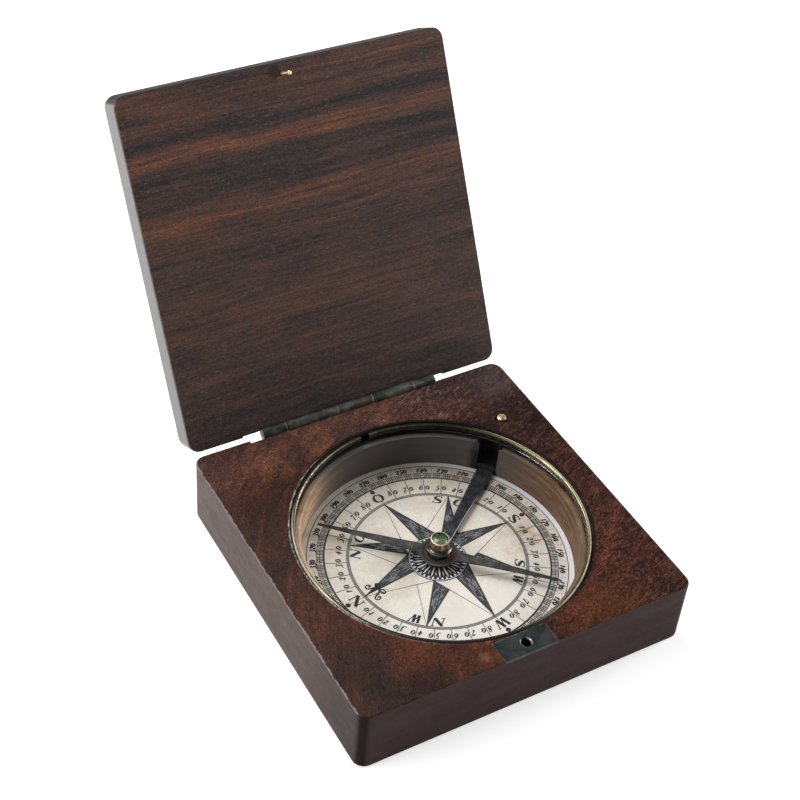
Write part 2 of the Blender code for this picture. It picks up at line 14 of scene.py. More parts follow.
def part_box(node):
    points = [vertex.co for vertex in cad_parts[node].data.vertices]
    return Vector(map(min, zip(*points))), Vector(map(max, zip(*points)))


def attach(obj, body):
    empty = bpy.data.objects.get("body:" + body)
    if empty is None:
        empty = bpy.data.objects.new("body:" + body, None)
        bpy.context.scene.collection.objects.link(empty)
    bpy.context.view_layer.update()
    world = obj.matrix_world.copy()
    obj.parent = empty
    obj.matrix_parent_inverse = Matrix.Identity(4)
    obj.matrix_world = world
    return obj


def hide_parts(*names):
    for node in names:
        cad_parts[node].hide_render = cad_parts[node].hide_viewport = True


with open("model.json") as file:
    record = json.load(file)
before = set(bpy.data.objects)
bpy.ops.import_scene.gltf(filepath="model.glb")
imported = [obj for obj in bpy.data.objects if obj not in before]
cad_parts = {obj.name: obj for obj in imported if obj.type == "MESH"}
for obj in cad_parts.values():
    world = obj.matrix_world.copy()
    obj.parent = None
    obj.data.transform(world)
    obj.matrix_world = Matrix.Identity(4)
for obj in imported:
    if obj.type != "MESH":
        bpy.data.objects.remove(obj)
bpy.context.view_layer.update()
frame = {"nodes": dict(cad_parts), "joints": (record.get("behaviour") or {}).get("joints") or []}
nodes = frame["nodes"]
MM = 0.001

card_low, card_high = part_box("compass_card")
CX = (card_low.x + card_high.x) / 2 / MM      # centre of the turning
CY = (card_low.y + card_high.y) / 2 / MM
CARD_Z = card_high.z / MM                     # top of the card
CARD_R = (card_high.x - card_low.x) / 2 / MM
RING_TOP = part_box("bezel_ring")[1].z / MM
GLASS_LOW, GLASS_HIGH = (v.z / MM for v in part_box("glass_window"))

hinge = next(j for j in frame["joints"] if j["name"] == "lid_hinge")
HINGE_Y, HINGE_Z = hinge["pos_m"][1] / MM, hinge["pos_m"][2] / MM
LID_OPEN = math.radians(118.0)
LID_OUT = Vector((0, -math.cos(LID_OPEN), math.sin(LID_OPEN)))   # hinge to prong
LID_FACE = Vector((0, -math.sin(LID_OPEN), -math.cos(LID_OPEN)))  # inner face


# ------------------------------------------------------------------- camera
def camera():
    az, el, roll = math.radians(-32.771), math.radians(41.8827), math.radians(5.2216)
    back = Vector((math.sin(az) * math.cos(el), -math.cos(az) * math.cos(el),
                   math.sin(el)))
    right = Vector((math.cos(az), math.sin(az), 0))
    up = back.cross(right)
    r = right * math.cos(roll) + up * math.sin(roll)
    u = up * math.cos(roll) - right * math.sin(roll)
    where = (r * -0.0866424 + u * 0.4754063 + back * 4.5619357) * 0.09
    data = bpy.data.cameras.new("view_camera")
    data.sensor_width = 36.0
    data.lens = 73.3298
    data.clip_start = 0.01
    data.clip_end = 20
    ob = bpy.data.objects.new("view_camera", data)
    bpy.context.scene.collection.objects.link(ob)
    m = Matrix.Identity(4)
    for i in range(3):
        m[i][0], m[i][1], m[i][2], m[i][3] = r[i], u[i], back[i], where[i]
    ob.matrix_world = m
    bpy.context.scene.camera = ob
    return ob


camera()


# ------------------------------------------------------------ shader helpers
class Tree:
    """Writes a material's node tree as short expressions."""

    def __init__(self, name, rough=0.5, metal=0.0, colour=None, **sockets):
        self.mat = bpy.data.materials.new(name)
        self.mat.use_nodes = True
        self.nt = self.mat.node_tree
        self.bsdf = self.nt.nodes["Principled BSDF"]
        self.out = self.nt.nodes["Material Output"]
        self.set("Roughness", rough)
        self.set("Metallic", metal)
        if colour is not None:
            self.set("Base Color", colour)
        for key, value in sockets.items():
            self.set(key.replace("_", " "), value)
        self._coords = None

    def _put(self, socket, value):
        if hasattr(value, "is_output"):
            self.nt.links.new(value, socket)
        elif isinstance(value, (tuple, list)):
            n = len(socket.default_value)
            value = tuple(value)
            socket.default_value = (value + (1.0,))[:n] if len(value) < n else value[:n]
        else:
            socket.default_value = value

    def set(self, name, value):
        self._put(self.bsdf.inputs[name], value)

    def node(self, kind, **props):
        n = self.nt.nodes.new(kind)
        for k, v in props.items():
            setattr(n, k, v)
        return n

    def at(self):
        """Place in the frame, in millimetres."""
        if self._coords is None:
            tc = self.node("ShaderNodeTexCoord")
            self._coords = self.vmath("SCALE", tc.outputs["Object"], scale=1 / MM)
        return self._coords

    def vmath(self, op, a, b=None, scale=None):
        n = self.node("ShaderNodeVectorMath", operation=op)
        self._put(n.inputs[0], a)
        if b is not None:
            self._put(n.inputs[1], b)
        if scale is not None:
            self._put(n.inputs["Scale"], scale)
        return n.outputs["Value" if op in ("LENGTH", "DOT_PRODUCT", "DISTANCE")
                         else "Vector"]

    def math(self, op, a, b=None, c=None, clamp=False):
        n = self.node("ShaderNodeMath", operation=op, use_clamp=clamp)
        for i, v in enumerate((a, b, c)):
            if v is not None:
                self._put(n.inputs[i], v)
        return n.outputs[0]

    def xyz(self, v):
        n = self.node("ShaderNodeSeparateXYZ")
        self._put(n.inputs[0], v)
        return n.outputs[0], n.outputs[1], n.outputs[2]

    def vec(self, x, y, z):
        n = self.node("ShaderNodeCombineXYZ")
        for i, v in enumerate((x, y, z)):
            self._put(n.inputs[i], v)
        return n.outputs[0]

    def noise(self, v, scale=1.0, detail=4.0, rough=0.5, warp=0.0, lac=2.0):
        n = self.node("ShaderNodeTexNoise")
        self._put(n.inputs["Vector"], v)
        n.inputs["Scale"].default_value = scale
        n.inputs["Detail"].default_value = detail
        n.inputs["Roughness"].default_value = rough
        n.inputs["Lacunarity"].default_value = lac
        n.inputs["Distortion"].default_value = warp
        return n.outputs["Fac"]

    def cells(self, v, scale=1.0, random=1.0):
        n = self.node("ShaderNodeTexVoronoi")
        self._put(n.inputs["Vector"], v)
        n.inputs["Scale"].default_value = scale
        n.inputs["Randomness"].default_value = random
        return n.outputs["Distance"]

    def span(self, v, a, b, lo=0.0, hi=1.0, smooth=True):
        """v from a to b becomes lo to hi, held at the ends."""
        n = self.node("ShaderNodeMapRange",
                      interpolation_type="SMOOTHSTEP" if smooth else "LINEAR")
        self._put(n.inputs["Value"], v)
        n.inputs["From Min"].default_value = a
        n.inputs["From Max"].default_value = b
        n.inputs["To Min"].default_value = lo
        n.inputs["To Max"].default_value = hi
        return n.outputs["Result"]

    def ramp(self, fac, stops, kind="LINEAR"):
        n = self.node("ShaderNodeValToRGB")
        self._put(n.inputs[0], fac)
        cr = n.color_ramp
        cr.interpolation = kind
        while len(cr.elements) < len(stops):
            cr.elements.new(0.5)
        for e, (p, c) in zip(cr.elements, stops):
            e.position = p
            if not hasattr(c, "__len__"):
                c = (c, c, c)
            e.color = (*c, 1.0)
        return n.outputs["Color"]

    def mix(self, fac, a, b, how="MIX"):
        n = self.node("ShaderNodeMix", data_type="RGBA", blend_type=how)
        self._put(n.inputs["Factor"], fac)
        self._put(n.inputs[6], a)
        self._put(n.inputs[7], b)
        return n.outputs[2]

    def bump(self, height, strength=0.3, depth=0.05):
        n = self.node("ShaderNodeBump")
        n.inputs["Strength"].default_value = strength
        n.inputs["Distance"].default_value = depth * MM
        self._put(n.inputs["Height"], height)
        self.set("Normal", n.outputs["Normal"])
        return n.outputs["Normal"]

    def facing(self):
        return self.xyz(self.node("ShaderNodeNewGeometry").outputs["Normal"])

    def local_normal(self):
        return self.node("ShaderNodeTexCoord").outputs["Normal"]

    def blob(self, x, y, r, soft=0.5, stretch=(1, 1), angle=0.0):
        """1 inside a round spot at x, y, falling to 0 outside."""
        px, py, _ = self.xyz(self.at())
        dx = self.math("SUBTRACT", px, x)
        dy = self.math("SUBTRACT", py, y)
        c, s = math.cos(math.radians(angle)), math.sin(math.radians(angle))
        u = self.math("ADD", self.math("MULTIPLY", dx, c), self.math("MULTIPLY", dy, s))
        v = self.math("SUBTRACT", self.math("MULTIPLY", dy, c),
                      self.math("MULTIPLY", dx, s))
        d = self.vmath("LENGTH", self.vec(self.math("DIVIDE", u, stretch[0]),
                                          self.math("DIVIDE", v, stretch[1]), 0.0))
        return self.span(d, r * (1 - soft), r * (1 + soft), 1.0, 0.0)

    def polar(self):
        """Distance from the turning's axis, and the flat offsets from it."""
        px, py, pz = self.xyz(self.at())
        dx = self.math("SUBTRACT", px, CX)
        dy = self.math("SUBTRACT", py, CY)
        r = self.math("SQRT", self.math("ADD", self.math("MULTIPLY", dx, dx),
                                        self.math("MULTIPLY", dy, dy)))
        return r, dx, dy, pz


# ---------------------------------------------------------------- the woods
def mahogany():
    t = Tree("mahogany_oiled", IOR=1.46, Specular_IOR_Level=0.27,
             Specular_Tint=(1.0, 0.92, 0.89))
    p = t.at()
    x, y, z = t.xyz(p)
    # the figure swings from steep at the left to flat at the right
    turn = t.span(x, -50, 40, math.radians(-60), math.radians(-24), smooth=False)
    rot = t.node("ShaderNodeVectorRotate", rotation_type="Z_AXIS")
    t._put(rot.inputs["Vector"], p)
    t._put(rot.inputs["Angle"], turn)
    u, v, w = t.xyz(rot.outputs[0])
    wv = t.math("ADD", w, t.math("MULTIPLY", v, 0.15))
    broad = t.noise(t.vec(t.math("MULTIPLY", u, 0.022), t.math("MULTIPLY", v, 0.085),
                          t.math("MULTIPLY", wv, 0.05)), 1.0, 3.0, 0.55, 0.6)
    streak = t.noise(t.vec(t.math("MULTIPLY", u, 0.16), t.math("MULTIPLY", v, 0.80),
                           t.math("MULTIPLY", wv, 0.6)), 1.0, 3.0, 0.60, 0.5)
    fleck = t.noise(t.vec(t.math("MULTIPLY", u, 0.80), t.math("MULTIPLY", v, 2.5),
                          t.math("MULTIPLY", wv, 2.2)), 1.0, 2.0, 0.7, 0.25)
    pore = t.noise(t.vec(t.math("MULTIPLY", u, 1.4), t.math("MULTIPLY", v, 4.2),
                         t.math("MULTIPLY", wv, 4.2)), 1.0, 2.0, 0.5)
    speck = t.noise(p, 2.3, 3.0, 0.75, 0.3)
    cloud = t.noise(p, 0.105, 4.0, 0.62, 0.5)
    # flecked at the right and rear, smooth and cloudy at the front left
    plain = t.math("SUBTRACT", t.math("MULTIPLY", x, -0.35), y)
    plain = t.math("MULTIPLY", t.span(plain, 14, 36), t.span(x, 26, 8))
    coarse = t.math("MULTIPLY", t.span(x, -8, 26), t.span(y, 36, 22, 0.25, 1.0))
    much = t.math("ADD", t.math("MULTIPLY", coarse, 0.95), 0.22)
    tone = t.math("ADD", t.math("MULTIPLY", t.math("SUBTRACT", broad, 0.5), 0.45),
                  t.math("MULTIPLY", t.math("SUBTRACT", cloud, 0.5), t.math(
                      "ADD", t.math("MULTIPLY", plain, 0.15), 0.58)))
    tone = t.math("ADD", tone, t.math("MULTIPLY", t.math("SUBTRACT", speck, 0.5), 1.55))
    tone = t.math("ADD", tone, t.math(
        "ADD", t.math("MULTIPLY", t.math("SUBTRACT", streak, 0.5), 0.35),
        t.math("MULTIPLY", t.math("SUBTRACT", fleck, 0.5), much)))
    ray = t.math("ABSOLUTE", t.math("SUBTRACT", t.math("SUBTRACT", x, y),
                                    t.math("ADD", 58.5, t.math("MULTIPLY", t.math(
                                        "SUBTRACT", cloud, 0.5), 6.0))))
    ray = t.math("MULTIPLY", t.span(ray, 0.5, 2.2, 1.0, 0.0), t.span(t.math("ADD", x, y),
                                                                     -14, 0))
    tone = t.math("ADD", tone, t.math("MULTIPLY", ray, 0.10))
    tone = t.span(tone, -0.36, 0.40, smooth=False)
    wood = t.ramp(tone, [(0.0, (0.0060, 0.0040, 0.0040)), (0.28, (0.0170, 0.0072, 0.0055)),
                         (0.50, (0.0340, 0.0115, 0.0072)), (0.70, (0.0700, 0.0205, 0.0095)),
                         (1.0, (0.1650, 0.0500, 0.0200))])
    # redder towards the front left, browner and darker to the rear right
    lean = t.math("ADD", t.math("MULTIPLY", x, -0.5), t.math("MULTIPLY", y, -0.85))
    lean = t.span(lean, -48, 30)
    wood = t.mix(lean, t.mix(1.0, wood, (0.80, 0.92, 1.05), "MULTIPLY"), wood)
    wood = t.mix(t.span(t.math("SUBTRACT", pore, t.math("MULTIPLY", plain, 0.05)),
                        0.58, 0.72, 0.0, 0.65), wood, (0.0050, 0.0035, 0.0035))
    # short slanting fibres on the right, pinkish over dark
    c, sn = math.cos(math.radians(28.5)), math.sin(math.radians(28.5))
    along_f = t.math("ADD", t.math("MULTIPLY", x, c), t.math("MULTIPLY", y, sn))
    across_f = t.math("SUBTRACT", t.math("MULTIPLY", y, c), t.math("MULTIPLY", x, sn))
    stroke = t.noise(t.vec(t.math("MULTIPLY", along_f, 0.55),
                           t.math("MULTIPLY", across_f, 1.9),
                           t.math("MULTIPLY", z, 1.2)), 1.0, 3.0, 0.6, 0.2)
    where = t.span(t.math("ADD", x, t.math("MULTIPLY", y, 0.25)), 10, 28)
    wood = t.mix(where, wood, t.mix(1.0, wood, (0.80, 0.84, 0.98), "MULTIPLY"))
    wood = t.mix(t.math("MULTIPLY", where, t.span(stroke, 0.45, 0.33, 0.0, 0.60)), wood,
                 (0.010, 0.0050, 0.0052))
    wood = t.mix(t.math("MULTIPLY", where, t.span(stroke, 0.54, 0.66, 0.0, 0.50)), wood,
                 (0.125, 0.058, 0.043))
    # paler and greyer along the hinge side
    wood = t.mix(t.span(y, 24, 40, 0.0, 1.0), wood,
                 t.mix(1.0, wood, (2.5, 3.0, 3.3), "MULTIPLY"))
    light = t.math("MULTIPLY", t.span(pore, 0.29, 0.38, 1.0, 0.0),
                   t.span(streak, 0.40, 0.60))
    wood = t.mix(t.math("MULTIPLY", light, 0.50), wood, (0.125, 0.060, 0.042))
    wood = t.mix(t.span(x, -6, -34, 0.0, 1.0), wood,
                 t.mix(1.0, wood, (0.80, 0.81, 0.82), "MULTIPLY"))
    wood = t.mix(t.math("MULTIPLY", t.blob(37.5, 35.5, 9.0, 0.8), 0.50), wood,
                 (0.013, 0.009, 0.009))
    # a painted sheen: a greyer patch by the rear right corner
    sheen_patch = t.blob(39.5, 38.5, 5.5, 0.7, (1.0, 0.9))
    sheen_patch = t.math("MULTIPLY", sheen_patch, t.span(fleck, 0.30, 0.62, 0.2, 1.0))
    wood = t.mix(t.math("MULTIPLY", sheen_patch, 0.50), wood, (0.100, 0.078, 0.072))
    # a dark bruise by the front left of the ring, and worn bright spots
    for bx, by, br, k, c in (
            (-11.6, -41.6, 1.2, 0.55, (0.24, 0.120, 0.060)),
            (-8.6, -38.2, 0.7, 0.60, (0.26, 0.085, 0.014)),
            (-23.0, -33.0, 6.5, 0.50, (0.13, 0.034, 0.009)),
            (-10.0, -40.5, 5.0, 0.40, (0.12, 0.032, 0.009)),
            (-41.0, -40.5, 7.0, 0.75, (0.008, 0.005, 0.005)),
            (-30.0, -18.0, 7.0, 0.32, (0.12, 0.030, 0.009)),
            (22.0, -40.5, 7.0, 0.35, (0.12, 0.036, 0.011)),
            (-40.5, -29.0, 6.0, 0.60, (0.007, 0.004, 0.004)),
            (-26.0, -43.0, 5.0, 0.50, (0.007, 0.004, 0.004))):
        m = t.math("MULTIPLY", t.blob(bx, by, br, 0.8), t.span(speck, 0.40, 0.58, 0.25, 1.0))
        wood = t.mix(t.math("MULTIPLY", m, k), wood, c)

    # the side walls: plainer, straight along the case
    nx, ny, nz = t.xyz(t.local_normal())
    along = t.math("ADD", x, y)
    side_n = t.noise(t.vec(t.math("MULTIPLY", along, 0.05), t.math("MULTIPLY", z, 0.9),
                           0.0), 1.0, 4.0, 0.6, 0.3)
    side_f = t.noise(t.vec(t.math("MULTIPLY", along, 0.5), t.math("MULTIPLY", z, 4.0),
                           t.math("MULTIPLY", t.math("SUBTRACT", x, y), 0.5)),
                     1.0, 3.0, 0.6)
    side_t = t.math("ADD", t.math("MULTIPLY", side_n, 0.5),
                    t.math("MULTIPLY", side_f, 0.5))
    side = t.ramp(t.span(side_t, 0.32, 0.68, smooth=False),
                  [(0.0, (0.0110, 0.0062, 0.0052)), (0.5, (0.0180, 0.0090, 0.0070)),
                   (1.0, (0.0330, 0.0145, 0.0100))])
    mottle = t.noise(t.vec(t.math("MULTIPLY", along, 0.09), t.math("MULTIPLY", z, 0.32),
                           t.math("MULTIPLY", t.math("SUBTRACT", x, y), 0.03)),
                     1.0, 4.0, 0.55, 0.3)
    # painted sheen makes the left wall paler, fading darker towards the front; painted shade darkens the
    # front wall
    left = t.span(nx, -0.3, -0.7)
    left_sheen_fade = t.math("MULTIPLY", left, t.span(mottle, 0.3, 0.7, 0.75, 1.0))
    left_sheen_fade = t.math("MULTIPLY", left_sheen_fade, t.span(y, -12, -50))
    side = t.mix(t.math("MULTIPLY", left, 0.8), side, (0.050, 0.021, 0.013))
    side = t.mix(t.math("MULTIPLY", left_sheen_fade, 0.9), side, (0.006, 0.003, 0.003))
    # the right and rear walls keep the block's figure
    hidden = t.math("MAXIMUM", t.span(nx, 0.3, 0.7), t.span(ny, 0.3, 0.7))
    side = t.mix(t.math("MULTIPLY", hidden, 0.75), side,
                 t.mix(1.0, wood, (0.75, 0.78, 0.80), "MULTIPLY"))
    # painted shade: the front wall is darker and redder, and rougher too
    shade_and_dulling = t.math("MULTIPLY", t.span(ny, -0.3, -0.7), t.span(t.math("ABSOLUTE", nz),
                                                             0.45, 0.8, 1.0, 0.0))
    side = t.mix(shade_and_dulling, side, t.mix(1.0, side, (1.10, 0.62, 0.62), "MULTIPLY"))
    # painted shade on the rounded front left corner, which is also rougher
    corner = t.math("MULTIPLY", t.span(nx, -0.15, -0.75), t.span(ny, -0.15, -0.75))
    side = t.mix(corner, side, (0.0060, 0.0045, 0.0042))
    on_side = t.span(t.math("ABSOLUTE", nz), 0.45, 0.8, 1.0, 0.0)
    r, dx, dy, _ = t.polar()
    inside = t.math("MULTIPLY", t.span(r, 37.25, 37.35, 1.0, 0.0),
                    t.span(z, 17.93, 17.97, 1.0, 0.0))
    colour = t.mix(on_side, wood, side)

    # painted highlights along the left arris, broken where the edge is chipped, and fainter along the
    # front
    chip = t.noise(t.vec(t.math("MULTIPLY", y, 0.55), t.math("MULTIPLY", x, 0.3), 0.0),
                   1.0, 4.0, 0.7)
    worn_x = t.math("ADD", x, t.math("MULTIPLY", t.math("SUBTRACT", chip, 0.56), -1.6))
    left_arris_highlight = t.math("MULTIPLY", t.span(worn_x, -44.72, -44.60, 1.0, 0.0),
                   t.span(z, 17.55, 17.75))
    colour = t.mix(t.math("MULTIPLY", left_arris_highlight, 0.74), colour, (0.210, 0.175, 0.158))
    front_arris_highlight = t.math("MULTIPLY", t.span(t.math("ADD", y, t.math(
        "MULTIPLY", t.math("SUBTRACT", chip, 0.56), -1.2)), -44.80, -44.70, 1.0, 0.0),
        t.span(z, 17.6, 17.8))
    colour = t.mix(t.math("MULTIPLY", front_arris_highlight, 0.45), colour, (0.085, 0.055, 0.042))

    # the lip round the ring: a painted highlight on the left, a painted shadow on the right
    lip_highlight = t.math("MULTIPLY", t.span(t.math("ABSOLUTE", t.math("SUBTRACT", r, 37.32)),
                                      0.10, 0.26, 1.0, 0.0),
                   t.span(dx, -12, -26))
    lip_highlight = t.math("MULTIPLY", lip_highlight, t.span(dy, -12, -26, 1.0, 0.30))
    lip_highlight = t.math("MULTIPLY", lip_highlight, t.span(fleck, 0.44, 0.56, 0.08, 1.0))
    colour = t.mix(t.math("MULTIPLY", lip_highlight, t.span(z, 17.6, 17.9)), colour,
                   (0.270, 0.265, 0.275))
    lip_shadow = t.math("MULTIPLY", t.span(t.math("ADD", r, t.math(
        "MULTIPLY", t.math("SUBTRACT", fleck, 0.5), 1.6)), 37.55, 37.95, 1.0, 0.0),
        t.span(t.math("ADD", dx, t.math("MULTIPLY", dy, 0.5)), -6, 6))
    colour = t.mix(t.math("MULTIPLY", lip_shadow, 0.9), colour, (0.0035, 0.0032, 0.0045))

    # the turned bowl, bare brown wood with tool rings
    rings = t.noise(t.vec(t.math("MULTIPLY", r, 0.9),
                          t.math("MULTIPLY", z, 1.3),
                          t.math("MULTIPLY", dx, 0.012)), 1.0, 4.0, 0.65)
    grain = t.noise(t.vec(t.math("MULTIPLY", dx, 0.14), t.math("MULTIPLY", dy, 0.14),
                          t.math("MULTIPLY", z, 0.9)), 1.0, 5.0, 0.65, 0.8)
    wall = t.math("ADD", t.math("MULTIPLY", rings, 0.6), t.math("MULTIPLY", grain, 0.55))
    wall = t.ramp(t.span(wall, 0.40, 0.76, smooth=False),
                  [(0.0, (0.055, 0.030, 0.019)), (0.45, (0.145, 0.084, 0.048)),
                   (0.75, (0.210, 0.130, 0.078)), (1.0, (0.310, 0.205, 0.125))])
    # painted light: the left part of the bowl's wall is much brighter
    wall = t.mix(t.span(dx, -8, -24, 0.0, 0.9), wall,
                 t.mix(1.0, wall, (4.2, 4.8, 5.4), "MULTIPLY"))
    # painted shade: the rear of the bowl's wall is dark grey
    rear = t.span(t.math("ADD", dy, t.math("MULTIPLY", dx, 0.30)), 14, 33)
    wall = t.mix(t.math("MULTIPLY", rear, 0.85), wall, (0.088, 0.090, 0.092))
    front = t.span(dy, -8, -30)
    wall = t.mix(t.math("MULTIPLY", front, 0.35), wall, (0.23, 0.185, 0.125))
    # the glass's seat is reddish, chipped on the right and black behind
    seat = t.math("MULTIPLY", t.span(r, 35.3, 36.0), t.span(z, 17.9, 17.95, 1.0, 0.0))
    seat = t.math("MULTIPLY", seat, t.span(z, 14.6, 14.9))
    chips = t.noise(t.vec(t.math("MULTIPLY", dx, 0.35), t.math("MULTIPLY", dy, 0.35),
                          t.math("MULTIPLY", z, 0.7)), 1.0, 4.0, 0.7)
    seated = t.ramp(t.span(chips, 0.44, 0.56, smooth=False),
                    [(0.0, (0.100, 0.050, 0.032)), (0.55, (0.060, 0.036, 0.026)),
                     (0.75, (0.006, 0.006, 0.008)), (1.0, (0.004, 0.004, 0.006))])
    behind = t.span(t.math("ADD", dy, t.math("MULTIPLY", dx, -0.3)), 2, 14)
    seated = t.mix(behind, seated, (0.006, 0.007, 0.009))
    wall = t.mix(t.math("MULTIPLY", seat, 0.92), wall, seated)
    # nothing lights the slot the lever comes out of
    c, sn = math.cos(math.radians(38.15)), math.sin(math.radians(38.15))
    across = t.math("SUBTRACT", t.math("MULTIPLY", dy, c), t.math("MULTIPLY", dx, sn))
    outward = t.math("ADD", t.math("MULTIPLY", dx, c), t.math("MULTIPLY", dy, sn))
    slot = t.math("MULTIPLY", t.span(r, 34.46, 34.50), t.math(
        "MULTIPLY", t.span(t.math("ABSOLUTE", across), 3.4, 3.6, 1.0, 0.0),
        t.span(outward, 5, 10)))
    slot = t.math("MULTIPLY", slot, t.span(z, 15.05, 15.15, 1.0, 0.0))
    slot = t.math("MULTIPLY", slot, t.span(r, 43.0, 43.5, 1.0, 0.0))
    wall = t.mix(slot, wall, (0.0030, 0.0032, 0.0040))
    # painted shadow on the wall beside the slot
    slot_side_shadow = t.math("MULTIPLY", t.blob(CX + 34.4 * c - 0.62 * 2.3, CY + 34.4 * sn + 0.79 * 2.3,
                                       2.4, 0.5), t.span(z, 14.0, 11.0, 0.5, 0.9))
    wall = t.mix(slot_side_shadow, wall, (0.0080, 0.0080, 0.0090))
    colour = t.mix(inside, colour, wall)
    t.set("Base Color", colour)

    rough = t.math("ADD", t.math("MULTIPLY", streak, 0.16),
                   t.math("MULTIPLY", pore, 0.20))
    rough = t.math("ADD", rough, 0.13)
    rough = t.math("ADD", rough, t.math("MULTIPLY", inside, 0.32))
    rough = t.math("ADD", rough, t.math("MULTIPLY", on_side, t.math(
        "ADD", t.math("MULTIPLY", mottle, 0.25), 0.02)))
    rough = t.math("ADD", rough, t.math("MULTIPLY", shade_and_dulling, 0.22))
    rough = t.math("ADD", rough, t.math("MULTIPLY", t.math("MULTIPLY", left, on_side),
                                        t.span(y, -12, -50, 0.0, 0.13)))
    rough = t.math("ADD", rough, t.math("MULTIPLY", t.math(
        "MAXIMUM", slot, t.math("MULTIPLY", corner, on_side)), 0.45), clamp=True)
    t.set("Roughness", rough)
    height = t.math("ADD", t.math("MULTIPLY", speck, 0.5),
                    t.math("MULTIPLY", t.span(pore, 0.55, 0.72, 0.0, -1.0), 0.4))
    height = t.math("MULTIPLY", height, t.math("SUBTRACT", 1.0, t.math(
        "MULTIPLY", on_side, 0.75)))
    height = t.math("ADD", height, t.math("MULTIPLY", t.math("MULTIPLY", rings, inside),
                                          1.2))
    t.bump(height, 0.28, 0.10)
    return t.mat


